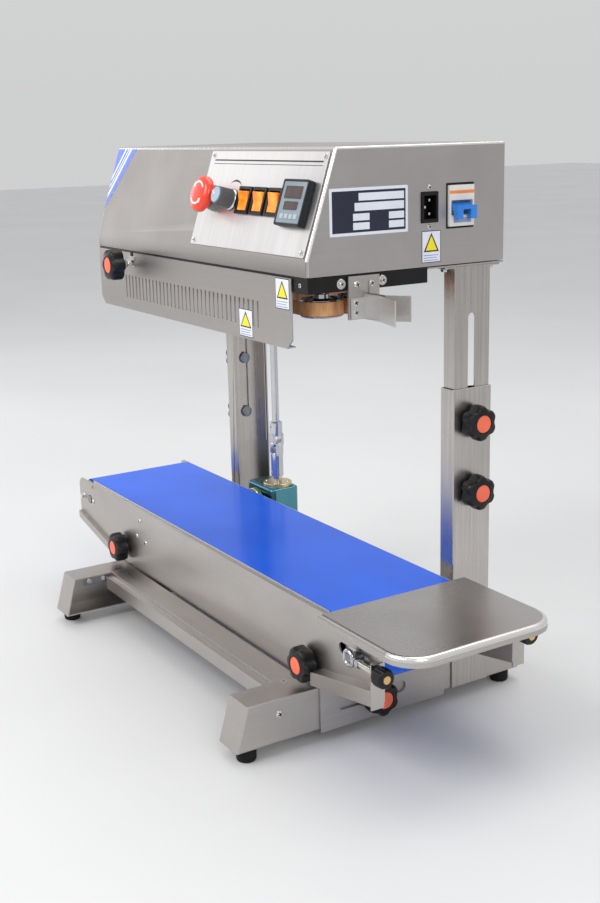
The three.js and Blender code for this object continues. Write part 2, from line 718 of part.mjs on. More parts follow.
// The closed outline of the belt's path, a distance outside its inner face.
function beltOutline(offset) {
  const pulleys = beltPulleys().map((pulley) => ({ ...pulley, r: pulley.r + offset }));
  const shape = new THREE.Shape();
  pulleys.forEach((here, i) => {
    const before = pulleys[(i + pulleys.length - 1) % pulleys.length];
    const after = pulleys[(i + 1) % pulleys.length];
    const turn = here.r > 0 ? -Math.PI / 2 : Math.PI / 2;
    const from = heading(before, here) + turn;
    const to = heading(here, after) + turn;
    shape.absarc(here.x, here.z, Math.abs(here.r), from, to, here.r < 0);
  });
  return shape;
}

// The direction of the straight run that leaves one pulley and reaches the next.
function heading(from, to) {
  const [dx, dz] = [to.x - from.x, to.z - from.z];
  return Math.atan2(dz, dx) - Math.asin((to.r - from.r) / Math.hypot(dx, dz));
}

function belt() {
  const low = CONVEYOR_MID_Y - BELT.width / 2;
  const high = CONVEYOR_MID_Y + BELT.width / 2;
  return cut(
    prism(beltOutline(BELT.thick), "y", [low, high], 8),
    prism(beltOutline(0), "y", [low - 1, high + 1], 8),
  );
}

// A side plate with its end chamfers; folded skirts stiffen the chamfers, and the plate that the
// tension screw pulls on closes the infeed end.
function sidePlate() {
  const { left, right, front, top, bottom } = SIDE;
  const skirtLeft = SKIRT.left;
  const outline = new THREE.Shape();
  outline.moveTo(left, 92);
  outline.lineTo(left + 124, bottom);
  outline.lineTo(-62, bottom);
  outline.lineTo(right, 94.5);
  outline.lineTo(right, top);
  outline.lineTo(left + 12, top);
  outline.absarc(left + 12, top - 12, 12, Math.PI / 2, Math.PI, false);
  const web = prism(outline, "y", [front, front + SHEET]);
  const skirt = cut(
    prism(
      [[skirtLeft, 88.5], [right, 110], [right, 92.5], [skirtLeft, 73]],
      "y",
      [front - SKIRT.depth, front + 1],
    ),
    prism(
      [[skirtLeft - 2, 85], [right + 1, 107.4], [right + 1, 80], [skirtLeft - 2, 60]],
      "y",
      [front - SKIRT.depth + SHEET, front],
    ),
  );
  const lip = cut(
    prism([[left + 3, 103], [left + 3, 92.5], [-538, 67], [-538, 78]], "y", [front - 5, front + 1]),
    prism([[left + 1, 100.5], [left + 1, 80], [-534, 50], [-534, 74.7]], "y", [front - 3, front]),
  );
  const pullPlate = cut(
    block([right - SHEET, right], [front - SKIRT.depth, front + 1], [88.5, 136.7]),
    rod("x", [front - TENSION_REACH, ROLLER.z], 4.2, [right - 4, right + 2]),
  );
  const topFold = block([left + 30, 15], [front, front + 4.2], [top - SHEET, top]);
  const cutThrough = [front - 1, front + SHEET + 1];
  const axleWay = slot("y", [39, 94.5], [ROLLER.z - 6, ROLLER.z + 6], cutThrough);
  const tailHole = rod("y", [ROLLER.tail, ROLLER.z], 6.4, cutThrough);
  const liftWays = LIFT_X.map((x) => slot("y", [x - 4.5, x + 4.5], [LIFT_Z - 20, LIFT_Z + 5], cutThrough));
  return cut(join(web, skirt, lip, pullPlate, topFold), axleWay, tailHole, ...liftWays);
}

// The bed that the belt slides on, folded down to the side plates, with its cross ribs and snub bars.
function bed() {
  const y = insideSidePlates();
  const x = [-583, 34];
  const top = BELT.top - BELT.thick - GAP;
  const webTop = 149;
  const plate = block(x, [y[0] + 5, y[1] - 5], [top - SHEET, top]);
  const webs = [block(x, [y[0], y[0] + SHEET], [131, webTop]), block(x, [y[1] - SHEET, y[1]], [131, webTop])];
  const ribs = [-540, -290, -50].flatMap((at) => [
    block([at, at + 20], y, [131, 135]),
    block([at, at + 20], [y[0] + 5, y[1] - 5], [134, top - 1]),
  ]);
  const hangerX = [DRIVE.x - SNUB.reach - 10, DRIVE.x + SNUB.reach + 10];
  const sides = [[y[0], y[0] + SHEET], [y[1] - SHEET, y[1]]];
  const hangers = sides.map((span) => block(hangerX, span, [108, 132]));
  const snubs = [-1, 1].map((side) =>
    rod("y", [DRIVE.x + side * SNUB.reach, DRIVE.z - SNUB.drop], SNUB.radius, y),
  );
  return cut(
    join(plate, ...webs, ...ribs, ...hangers, ...snubs),
    rod("y", [DRIVE.x, DRIVE.z], DRIVE.radius + 1, [y[0] + SHEET + 0.5, y[1] - SHEET - 0.5], 24),
    rod("y", [DRIVE.x, DRIVE.z], 6.6, [y[0] - 1, y[1] + 1]),
  );
}

// The space between the side plates' inner faces.
const insideSidePlates = () => [
  SIDE.front + SHEET + GAP,
  2 * CONVEYOR_MID_Y - SIDE.front - SHEET - GAP,
];

function roller(x, radius) {
  const low = CONVEYOR_MID_Y - BELT.width / 2;
  const high = CONVEYOR_MID_Y + BELT.width / 2;
  return rod("y", [x, ROLLER.z], radius - GAP, [low, high], 24);
}

function tailRoller() {
  const ends = [SIDE.front - 1, 2 * CONVEYOR_MID_Y - SIDE.front + 1];
  return join(roller(ROLLER.tail, ROLLER.radius), rod("y", [ROLLER.tail, ROLLER.z], 6, ends));
}

function tensionRoller() {
  const low = CONVEYOR_MID_Y - BELT.width;
  const high = CONVEYOR_MID_Y + BELT.width;
  return cut(
    roller(ROLLER.tension, ROLLER.radius),
    rod("y", [ROLLER.tension, ROLLER.z], 5.4, [low, high]),
  );
}

const tensionLines = () => {
  const front = SIDE.front - TENSION_REACH;
  return [front, 2 * CONVEYOR_MID_Y - front];
};

// The tension axle: the roller's shaft with an eye and a pull rod at each end.
function tensionAxle() {
  const [front, rear] = tensionLines();
  const shaft = rod("y", [ROLLER.tension, ROLLER.z], 5, [front - 5, rear + 5]);
  const ends = [front, rear].flatMap((y) => [
    rod("y", [ROLLER.tension, ROLLER.z], 10, [y - 3.5, y + 3.5]),
    rod("x", [y, ROLLER.z], 3, [ROLLER.tension, SIDE.right + 14], 12),
    rod("x", [y, ROLLER.z], 5.5, [ROLLER.tension + 8, ROLLER.tension + 20], 6),
  ]);
  return join(shaft, ...ends);
}

function tensionKnob(y) {
  const from = SIDE.right + 3;
  const profile = [
    [3.4, from], [9, from], [10.5, from + 3], [10.5, from + 13], [9, from + 15], [3.4, from + 15],
    [3.4, from],
  ];
  return turned(profile, "x", [y, ROLLER.z]);
}

function driveRoller() {
  const low = CONVEYOR_MID_Y - BELT.width / 2;
  const high = CONVEYOR_MID_Y + BELT.width / 2;
  const centre = [DRIVE.x, DRIVE.z];
  return join(
    rod("y", centre, DRIVE.radius - GAP, [low, high], 24),
    rod("y", centre, 6, [insideSidePlates()[0] + GAP, GEARBOX.front + 22]),
  );
}

// A worm gearbox on the rear side plate: the drive shaft turns its worm, its wheel turns the roller.

function gearbox() {
  const { front, rear, bottom, top, left, right } = GEARBOX;
  return cut(
    join(
      block([left, right], [front + 4, rear], [bottom, top]),
      rod("z", [SHAFT.x, SHAFT.y], 20, [top - 1, top + 5.5]),
      rod("y", [DRIVE.x, DRIVE.z], 22, [front, front + 5], 24),
    ),
    rod("y", [DRIVE.x, DRIVE.z], 6.4, [front - 1, front + 24]),
    rod("z", [SHAFT.x, SHAFT.y], 6.5, [top - 30, top + 10]),
  );
}

// The drive shaft: a stub in the gearbox, a universal joint and the long shaft up into the hood.

function driveShaft() {
  const at = [SHAFT.x, SHAFT.y];
  const { low, mid, high, radius } = JOINT;
  const cheek = (along, side, span) => {
    const offset = side * 6.5;
    const [dx, dy] = along === "x" ? [offset, 0] : [0, offset];
    const [hx, hy] = along === "x" ? [2, 6] : [6, 2];
    return block([at[0] + dx - hx, at[0] + dx + hx], [at[1] + dy - hy, at[1] + dy + hy], span);
  };
  return join(
    rod("z", at, 6, [GEARBOX.top - 28, low + 1]),
    rod("z", at, radius, [GEARBOX.top + 14, mid - 12]),
    cheek("x", 1, [mid - 13, mid + 5]),
    cheek("x", -1, [mid - 13, mid + 5]),
    block([at[0] - 7, at[0] + 7], [at[1] - 7, at[1] + 7], [mid - 4.5, mid + 4.5]),
    cheek("y", 1, [mid - 5, mid + 13]),
    cheek("y", -1, [mid - 5, mid + 13]),
    rod("z", at, radius, [mid + 12, high]),
    rod("z", at, SHAFT.radius, [high - 1, SHAFT.top]),
  );
}

function tray() {
  const { left, right, front, rear, top, corner } = TRAY;
  const outline = (inset) => {
    const shape = new THREE.Shape();
    const r = corner - inset;
    shape.moveTo(left + inset, front + inset);
    shape.lineTo(right - corner, front + inset);
    shape.absarc(right - corner, front + corner, r, -Math.PI / 2, 0);
    shape.absarc(right - corner, rear - corner, r, 0, Math.PI / 2);
    shape.lineTo(left + inset, rear - inset);
    return shape;
  };
  const slab = cut(
    prism(outline(0), "z", [top - 10.5, top], 16),
    prism(outline(2.5), "z", [top - 11, top - 2], 16),
    block([left - 1, left + 3], [front + 2.5, rear - 2.5], [top - 12, top - 2]),
  );
  const flange = block([22, right - 60], [front + 9, SIDE.front - GAP], [top - 9, top - 1]);
  return join(slab, flange, mirrorY(flange, CONVEYOR_MID_Y));
}

function liftKnob(x) {
  const knob = starKnob({ hub: 3, stud: 5.2, studRadius: 4 });
  return facing(knob, [0, -1, 0], [x, SIDE.front - GAP, LIFT_Z]);
}

// The carriage slides across both feet: a slotted plate outside each foot, a cover over the foot with
// ears that the lift knobs clamp to the side plates, and a tie between the two covers.
function carriageEnd() {
  const plateX = [FOOT.outer + GAP, FOOT.outer + GAP + 2.4];
  const y = insideSidePlates();
  const rest = FOOT.top + GAP;
  const web = cut(
    block(plateX, [SIDE.front, CONVEYOR_MID_Y * 2 - SIDE.front - 1], [11.4, rest - 0.1]),
    slot("x", [28, 119], [SLIDE.z - 7, SLIDE.z + 6.5], [plateX[0] - 1, plateX[1] + 1]),
  );
  const riser = block(plateX, y, [rest - 2, rest + 2.4]);
  const cover = block([FOOT.outer - FOOT.width, plateX[1]], y, [rest, rest + 2.4]);
  const earX = [-40, plateX[1]];
  const ears = [block(earX, [y[0], y[0] + 2.4], [rest, 106]), block(earX, [y[1] - 2.4, y[1]], [rest, 106])];
  const knobHole = rod("y", [LIFT_X[1], LIFT_Z], 4.3, [y[0] - 1, y[0] + 3]);
  return cut(join(web, riser, cover, ...ears), knobHole);
}

function carriage() {
  const right = carriageEnd();
  const inner = FOOT.outer - FOOT.width + 1;
  const rest = FOOT.top + GAP;
  const tie = block([2 * MID_X - inner, inner], [60, 120], [rest, rest + 2.4]);
  return join(right, mirrorX(right, MID_X), tie);
}

function buildConveyor() {
  const front = sidePlate();
  const driveHole = rod("y", [DRIVE.x, DRIVE.z], 6.4, [SIDE.front, 2 * CONVEYOR_MID_Y]);
  add("side_plate_front", "steel", front);
  add("side_plate_rear", "steel", cut(mirrorY(front, CONVEYOR_MID_Y), driveHole));
  add("belt", "belt", belt());
  add("belt_bed", "steel", bed());
  add("tail_roller", "steel", tailRoller());
  add("drive_roller", "steel", driveRoller());
  add("tension_roller", "steel", tensionRoller());
  add("tension_axle", "chrome", tensionAxle());
  const [frontY, rearY] = tensionLines();
  add("tension_knob_front", "blackPlastic", tensionKnob(frontY));
  add("tension_knob_rear", "blackPlastic", tensionKnob(rearY));
  add("gearbox", "teal", gearbox());
  add("drive_shaft", "chrome", driveShaft());
  add("tray", "steel", tray());
  LIFT_X.forEach((x, i) => add(`lift_knob_${["left", "right"][i]}`, "blackPlastic", liftKnob(x)));
}

function buildCarriage() {
  add("carriage", "steel", carriage());
  const knob = starKnob({ hub: 3, stud: 8, studRadius: 4 });
  const place = [FOOT.outer + GAP + 2.4 + GAP, SLIDE.y, SLIDE.z];
  add("slide_knob", "blackPlastic", facing(knob, [1, 0, 0], place));
}

buildBase();
buildPostClamps();
buildHead();
buildCarriage();
buildConveyor();

export default root;
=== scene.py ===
import math

import bmesh
import bpy
from mathutils import Matrix, Vector


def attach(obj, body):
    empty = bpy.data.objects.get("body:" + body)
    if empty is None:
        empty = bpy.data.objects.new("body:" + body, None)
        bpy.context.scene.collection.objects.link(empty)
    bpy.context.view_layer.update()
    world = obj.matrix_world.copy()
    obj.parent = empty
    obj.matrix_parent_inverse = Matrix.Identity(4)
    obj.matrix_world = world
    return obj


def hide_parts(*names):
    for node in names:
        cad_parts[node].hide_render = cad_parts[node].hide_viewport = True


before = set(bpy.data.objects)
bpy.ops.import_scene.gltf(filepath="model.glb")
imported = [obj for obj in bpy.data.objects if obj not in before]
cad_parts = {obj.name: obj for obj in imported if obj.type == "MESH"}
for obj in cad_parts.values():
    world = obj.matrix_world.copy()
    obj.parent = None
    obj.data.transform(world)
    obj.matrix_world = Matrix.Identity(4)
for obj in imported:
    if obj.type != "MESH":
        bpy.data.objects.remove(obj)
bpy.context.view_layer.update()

# Shapes below are in the machine's own millimetres: X = 0 is the hood's infeed end panel, Y = 0 its
# front lower face, Z = 0 the floor. TO_ROW takes them to the row frame.
TO_ROW = Matrix.Scale(0.001, 4) @ Matrix.Translation((241.0, -95.5, 0.0))
FROM_ROW = TO_ROW.inverted()
MID_X = -257.25  # halfway between the two feet
FOLD_Z = 519.5  # where the hood's front turns into its slope
HOOD_LEFT, HOOD_REAR, HOOD_LOW, HOOD_TOP = -514, 254, 503.5, 628.5
SLOPE_TOP_Y = 37.0  # where the slope meets the hood's top
SLOPE_ANGLE = math.atan2(SLOPE_TOP_Y, HOOD_TOP - FOLD_Z)
SIN, COS = math.sin(SLOPE_ANGLE), math.cos(SLOPE_ANGLE)
# The hood's slope: u along X, v up the slope from the fold, w out of it.
SLOPE = Matrix(((1, 0, 0, 0), (0, SIN, -COS, 0), (0, COS, SIN, FOLD_Z), (0, 0, 0, 1)))
# The hood's end panel: u towards the rear, v up, w out of it.
END = Matrix(((0, 0, 1, 0), (1, 0, 0, 0), (0, 1, 0, 0), (0, 0, 0, 1)))
# An upright face that looks at the operator: u along X, v up, w out of it.
FRONT = Matrix(((1, 0, 0, 0), (0, 0, -1, 0), (0, 1, 0, 0), (0, 0, 0, 1)))


# Places that several pieces share.
FOOT_FACE = -2.3
FOOT_TOP = 64.6
CLAMP_Z = {"lower": 250, "upper": 329}
WHEEL_X = {"right": -46, "left": -462}
BAND_Y = 70
BAND_OFFSET = 23.2  # each band's centre line, in front of or behind BAND_Y
STOP = (-211, 56)  # u and v on the slope
DIAL = (-175.5, 56)
SHAFT = (-411.5, 203)
ROLLER_Z = 127
ROLLER_RADIUS = 28.2
TAIL_X, TENSION_X = -619, 70
DRIVE = (-434, 134.7)
DRIVE_RADIUS = 20
TENSION_Y = (-3.6, 183.0)  # the threaded rods beside the two side plates
SIDE_FACES = ((4.9, -1), (174.5, 1))  # the side plates' outer faces and which way they look


# ---- materials ----
def linear(red, green, blue):
    """An sRGB colour of 0 to 255 as linear values with alpha."""
    def one(value):
        value /= 255
        return value / 12.92 if value <= 0.04045 else ((value + 0.055) / 1.055) ** 2.4
    return (one(red), one(green), one(blue), 1.0)


class Nodes:
    """A material's node tree, with short ways to add and link nodes."""

    def __init__(self, name):
        self.material = bpy.data.materials.new(name)
        self.material.use_nodes = True
        self.tree = self.material.node_tree
        self.shader = self.tree.nodes["Principled BSDF"]

    def add(self, kind, **settings):
        node = self.tree.nodes.new(kind)
        for key, value in settings.items():
            if key in node.inputs.keys():
                node.inputs[key].default_value = value
            else:
                setattr(node, key, value)
        return node

    def link(self, source, target):
        self.tree.links.new(source, target)

    def noise(self, scale, detail=4.0, stretch=(1, 1, 1), roughness=0.55):
        place = self.add("ShaderNodeTexCoord")
        mapping = self.add("ShaderNodeMapping")
        mapping.inputs["Scale"].default_value = stretch
        self.link(place.outputs["Object"], mapping.inputs["Vector"])
        noise = self.add("ShaderNodeTexNoise", Scale=scale, Detail=detail, Roughness=roughness)
        self.link(mapping.outputs["Vector"], noise.inputs["Vector"])
        return noise.outputs["Fac"]

    def spread(self, value, low, high, from_low=0.3, from_high=0.7):
        node = self.add("ShaderNodeMapRange")
        node.inputs["From Min"].default_value = from_low
        node.inputs["From Max"].default_value = from_high
        node.inputs["To Min"].default_value = low
        node.inputs["To Max"].default_value = high
        self.link(value, node.inputs["Value"])
        return node.outputs["Result"]

    def blend(self, share, first, second):
        node = self.add("ShaderNodeMix", data_type="RGBA")
        self.link(share, node.inputs["Factor"])
        for socket, colour in ((node.inputs[6], first), (node.inputs[7], second)):
            if isinstance(colour, tuple):
                socket.default_value = colour
            else:
                self.link(colour, socket)
        return node.outputs[2]

    def maths(self, operation, first, second):
        node = self.add("ShaderNodeMath", operation=operation)
        for socket, value in zip(node.inputs, (first, second)):
            if isinstance(value, (int, float)):
                socket.default_value = value
            else:
                self.link(value, socket)
        return node.outputs[0]

    def bump(self, height, strength, distance):
        node = self.add("ShaderNodeBump", Strength=strength, Distance=distance)
        self.link(height, node.inputs["Height"])
        self.link(node.outputs["Normal"], self.shader.inputs["Normal"])

    def colour(self, value):
        if isinstance(value, tuple):
            self.shader.inputs["Base Color"].default_value = value
        else:
            self.link(value, self.shader.inputs["Base Color"])

    def set(self, **sockets):
        for key, value in sockets.items():
            self.shader.inputs[key.replace("_", " ")].default_value = value


def tinted(colour, factor):
    return tuple(min(1.0, channel * factor) for channel in colour[:3]) + (1.0,)


def brushed(name, colour, grain, roughness=0.34, contrast=0.05, cloud=0.2):
    """Brushed sheet metal: fine streaks along one axis over soft, wide clouds."""
    nodes = Nodes(name)
    stretch = {
        "x": (0.012, 1, 1), "y": (1, 0.012, 1), "z": (1, 1, 0.012), "slope": (1, 0.006, 0.012),
    }[grain]
    fine = nodes.noise(560, 5, stretch, 0.6)
    wide = nodes.noise(9, 3, (1, 1, 1), 0.55)
    streaks = nodes.blend(
        nodes.spread(fine, 0, 1), tinted(colour, 1 - contrast), tinted(colour, 1 + contrast)
    )
    # Wide random clouds darken the streaked steel a little.
    clouded = nodes.blend(nodes.spread(wide, 0, cloud), streaks, tinted(colour, 0.6))
    nodes.colour(clouded)
    gloss = nodes.maths(
        "ADD",
        nodes.spread(fine, -0.03, 0.03),
        nodes.spread(wide, roughness - 0.05, roughness + 0.06),
    )
    nodes.link(gloss, nodes.shader.inputs["Roughness"])
    nodes.set(Metallic=1.0, Anisotropic=0.35)
    nodes.bump(fine, 0.012, 0.0001)
    return nodes.material


def polished(name, colour, roughness=0.1, wear=0.07):
    """Bright plated or turned metal with faint smears."""
    nodes = Nodes(name)
    smear = nodes.noise(60, 4)
    nodes.colour(nodes.blend(nodes.spread(smear, 0, 1), tinted(colour, 0.9), colour))
    nodes.link(nodes.spread(smear, roughness, roughness + wear), nodes.shader.inputs["Roughness"])
    nodes.set(Metallic=1.0)
    nodes.bump(nodes.noise(900, 3), 0.03, 0.0001)
    return nodes.material


def moulded(name, colour, roughness=0.35, grain=1200, depth=0.08, coat=0.0, shade=0.12, gloss=0.5):
    """Moulded plastic, paint or rubber: a fine texture and a slight change of tone."""
    nodes = Nodes(name)
    tone = nodes.noise(35, 3)
    nodes.colour(nodes.blend(nodes.spread(tone, 0, 1), tinted(colour, 1 - shade), tinted(colour, 1 + shade)))
    nodes.link(nodes.spread(tone, roughness - 0.04, roughness + 0.06), nodes.shader.inputs["Roughness"])
    nodes.set(Coat_Weight=coat, Coat_Roughness=0.12, Specular_IOR_Level=gloss)
    nodes.bump(nodes.noise(grain, 3), depth, 0.0002)
    return nodes.material


def belt_look():
    """Glossy PVC belting with a faint long wave and fine scuffs along its travel."""
    nodes = Nodes("belt_pvc")
    scuff = nodes.noise(300, 4, (0.03, 1, 1), 0.6)
    wave = nodes.noise(9, 2, (0.6, 1, 1))
    nodes.colour(
        nodes.blend(nodes.spread(wave, 0, 1), (0.002, 0.1, 0.7, 1), (0.003, 0.13, 0.84, 1))
    )
    nodes.link(nodes.spread(scuff, 0.13, 0.24), nodes.shader.inputs["Roughness"])
    nodes.set(IOR=1.5, Specular_IOR_Level=0.22)
    nodes.bump(wave, 0.12, 0.0015)
    return nodes.material


def band_look():
    """Brown PTFE-coated glass cloth: a fine square weave, worn lighter in patches."""
    nodes = Nodes("band_ptfe")
    place = nodes.add("ShaderNodeTexCoord")
    weave = []
    for axis in ("X", "Y", "Z"):
        wave = nodes.add("ShaderNodeTexWave", bands_direction=axis, Scale=300.0, Distortion=0.4)
        nodes.link(place.outputs["Object"], wave.inputs["Vector"])
        weave.append(wave.outputs["Fac"])
    cloth = nodes.maths("MULTIPLY", nodes.maths("MAXIMUM", weave[0], weave[1]), weave[2])
    worn = nodes.noise(120, 4, (1, 1, 0.3))
    brown = nodes.blend(
        nodes.spread(worn, 0, 1), (0.5, 0.2, 0.07, 1), (0.82, 0.43, 0.19, 1)
    )
    nodes.colour(nodes.blend(nodes.spread(cloth, 0, 0.35, 0, 1), brown, (0.2, 0.07, 0.02, 1)))
    nodes.link(nodes.spread(worn, 0.3, 0.5), nodes.shader.inputs["Roughness"])
    nodes.set(Metallic=0.15, Specular_IOR_Level=0.7)
    nodes.bump(cloth, 0.15, 0.0003)
    return nodes.material


def rocker_look():
    """A translucent orange rocker with its lamp on: brighter and darker in random patches, with cloudy depth.
    """
    nodes = Nodes("rocker_orange")
    glow = nodes.noise(140, 4)
    tone = nodes.blend(nodes.spread(glow, 0, 1), (0.9, 0.14, 0.004, 1), (1.0, 0.36, 0.03, 1))
    nodes.colour(tone)
    nodes.link(tone, nodes.shader.inputs["Emission Color"])
    nodes.set(Emission_Strength=0.45, Roughness=0.18, Coat_Weight=0.4, Subsurface_Weight=0.15)
    nodes.set(Subsurface_Scale=0.003)
    nodes.bump(glow, 0.15, 0.0004)
    return nodes.material


STEEL = linear(192, 187, 183)
LOOK = {
    "sheet_x": brushed("sheet_steel_x", STEEL, "x"),
    "sheet_y": brushed("sheet_steel_y", STEEL, "y"),
    "sheet_z": brushed("sheet_steel_z", STEEL, "z", 0.3, 0.16),
    # The hood's front, slope and top take a darker copy of its steel, and its end faces a lighter copy:
    # painted shade and light by which way each face looks.
    "hood": brushed("hood_steel_x_painted_darker", linear(166, 161, 158), "x", 0.38, 0.04, 0.2),
    "hood_end": brushed("hood_steel_y_painted_lighter", linear(190, 186, 184), "y", 0.38, 0.025, 0.35),
    # The control plate's steel is lighter than the other sheets: partly its own finish, partly painted
    # reflected light.
    "plate": brushed("control_plate_steel_painted_bright", linear(225, 223, 222), "slope", 0.36, 0.07, 0.1),
    "guard": brushed("guard_steel", linear(192, 187, 184), "x", 0.36, 0.03, 0.2),
    # The bent fold faces get a lighter, glossier steel than the sheets they bend from: a painted highlight
    # along every fold.
    "fold": brushed("fold_painted_highlight", linear(236, 233, 230), "slope", 0.24, 0.03, 0.1),
    "bright": brushed("bright_strip", linear(226, 224, 222), "x", 0.26, 0.04, 0.1),
    "tray": brushed("tray_steel", linear(186, 182, 179), "y", 0.3, 0.03, 0.3),
    "chrome": polished("chrome", (0.58, 0.59, 0.62, 1), 0.08, 0.06),
    "screw": polished("bright_screw", (0.74, 0.73, 0.7, 1), 0.16),
    "zinc": polished("yellow_zinc", (0.72, 0.58, 0.33, 1), 0.22, 0.15),
    "brass": polished("brass_insert", (0.72, 0.5, 0.2, 1), 0.2),
    "teal": polished("polished_teal", (0.1, 0.3, 0.36, 1), 0.1, 0.12),
    "steel_dark": polished("dark_bolt", (0.3, 0.32, 0.35, 1), 0.3, 0.15),
    "aluminium": polished("turned_aluminium", (0.72, 0.72, 0.72, 1), 0.28, 0.1),
    "cast": moulded("cast_grey", (0.11, 0.115, 0.12, 1), 0.5, 500, 0.25),
    "paint": moulded("black_paint", (0.003, 0.003, 0.004, 1), 0.26, 700, 0.06, gloss=0.35),
    "black": moulded("black_plastic", (0.004, 0.004, 0.005, 1), 0.34, 900, 0.08, gloss=0.35),
    "matt": moulded("matt_black_plastic", (0.006, 0.006, 0.007, 1), 0.5, 900, 0.1, gloss=0.3),
    "rubber": moulded("rubber", (0.006, 0.006, 0.006, 1), 0.7, 700, 0.2, gloss=0.25),
    "case": moulded("controller_case", (0.008, 0.009, 0.011, 1), 0.4, 1100, 0.1, gloss=0.35),
    "face": moulded("controller_face", linear(126, 142, 150), 0.36, 1200, 0.04),
    "display": moulded("display_window", (0.055, 0.032, 0.032, 1), 0.14, 900, 0.01, 0.4),
    "segments": moulded("display_segments", (0.1, 0.07, 0.06, 1), 0.3, 900, 0.02),
    "button": moulded("controller_button", linear(166, 176, 184), 0.4, 1200, 0.05),
    "cap": moulded("knob_cap", linear(255, 112, 82), 0.38, 1200, 0.05),
    "red": moulded("stop_red", linear(244, 58, 30), 0.26, 900, 0.03, 0.35, 0.06),
    "arrow": moulded("arrow_white", (0.8, 0.78, 0.75, 1), 0.4),
    "grey": moulded("knob_grey", linear(92, 96, 100), 0.42, 1200, 0.08),
    "collar": moulded("collar_grey", linear(120, 122, 122), 0.38, 1200, 0.05),
    "pale_blue": moulded("knob_pale_blue", linear(158, 178, 196), 0.3, 1200, 0.04, 0.2),
    "white": moulded("white_plastic", linear(226, 224, 220), 0.4, 1100, 0.04, 0.1, 0.04),
    "blue": moulded("toggle_blue", linear(44, 132, 226), 0.3, 1100, 0.05, 0.2),
    "stripe": moulded("orange_stripe", linear(245, 140, 60), 0.42),
    "label": moulded("label_white", linear(226, 230, 240), 0.42, 600, 0.02, 0.1, 0.03),
    "label_navy": moulded("label_navy", linear(22, 26, 52), 0.36, 600, 0.02, 0.1),
    "label_blue": moulded("label_blue", linear(44, 92, 222), 0.3, 600, 0.02, 0.25, 0.06),
    "label_yellow": moulded("label_yellow", linear(246, 226, 20), 0.4, 600, 0.02, 0.1, 0.04),
    "label_grey": moulded("label_print_grey", linear(150, 156, 190), 0.45),
    "ink": moulded("black_ink", (0.02, 0.02, 0.025, 1), 0.5),
    "gap": moulded("shadow_gap", (0.006, 0.006, 0.006, 1), 0.9),
    "belt": belt_look(),
    "band": band_look(),
    "rocker": rocker_look(),
}


# ---- solids ----
def at(place, direction=(0, 0, 1), turn=0.0):
    """A matrix that puts a solid built along +Z at a place, along a direction."""
    aim = Vector((0, 0, 1)).rotation_difference(Vector(direction)).to_matrix().to_4x4()
    return Matrix.Translation(place) @ aim @ Matrix.Rotation(math.radians(turn), 4, "Z")


def softened(points, radius, steps=4, closed=False):
    """A line of points with each corner rounded off."""
    out = []
    count = len(points)
    for i, point in enumerate(points):
        if not closed and i in (0, count - 1):
            out.append(point)
            continue
        here = Vector(point)
        before = Vector(points[i - 1]) - here
        after = Vector(points[(i + 1) % count]) - here
        reach = min(radius, before.length * 0.45, after.length * 0.45)
        start = here + before.normalized() * reach
        end = here + after.normalized() * reach
        for k in range(steps + 1):
            t = k / steps
            out.append(tuple(start * (1 - t) ** 2 + here * 2 * t * (1 - t) + end * t**2))
    return out


def circle(radius, centre=(0, 0), steps=32):
    return [
        (
            centre[0] + radius * math.cos(2 * math.pi * k / steps),
            centre[1] + radius * math.sin(2 * math.pi * k / steps),
        )
        for k in range(steps)
    ]


def rectangle(u, v, radius=0.0, steps=4):
    corners = [(u[0], v[0]), (u[1], v[0]), (u[1], v[1]), (u[0], v[1])]
    return softened(corners, radius, steps, closed=True) if radius else corners


CREASE_ANGLE = 32.0
BEVEL_ANGLE = 30.0  # for solids built here
NODE_ANGLE = 28.0  # for CAD nodes


def mark_creases(part, folds=()):
    """Every face smooth, with a crease at sharp edges and along the rims of the folds."""
    folds = set(folds)
    limit = math.radians(CREASE_ANGLE)
    part.normal_update()
    for face in part.faces:
        face.smooth = True
    for edge in part.edges:
        sides = edge.link_faces
        rim = len(sides) == 2 and (sides[0] in folds) != (sides[1] in folds)
        edge.smooth = not rim and (len(sides) != 2 or edge.calc_face_angle(0) < limit)


def sharp_edges(part, angle):
    return [
        edge for edge in part.edges
        if len(edge.link_faces) == 2 and edge.calc_face_angle(0) > math.radians(angle)
    ]


def round_edges(part, edges, offset, segments, clamp):
    return bmesh.ops.bevel(
        part, geom=edges, offset=offset, segments=segments, profile=0.5,
        affect="EDGES", clamp_overlap=clamp,
    )


def fluted(sections, flutes, steps, power=1.0):
    """Loops for a knob, from (radius, share of it that the valleys lose, height)."""
    loops = []
    for radius, depth, height in sections:
        loop = []
        for k in range(steps):
            angle = math.tau * k / steps
            valley = (0.5 - 0.5 * math.cos(flutes * angle)) ** power
            reach = radius * (1 - depth * valley)
            loop.append((reach * math.cos(angle), reach * math.sin(angle), height))
        loops.append(loop)
    return loops


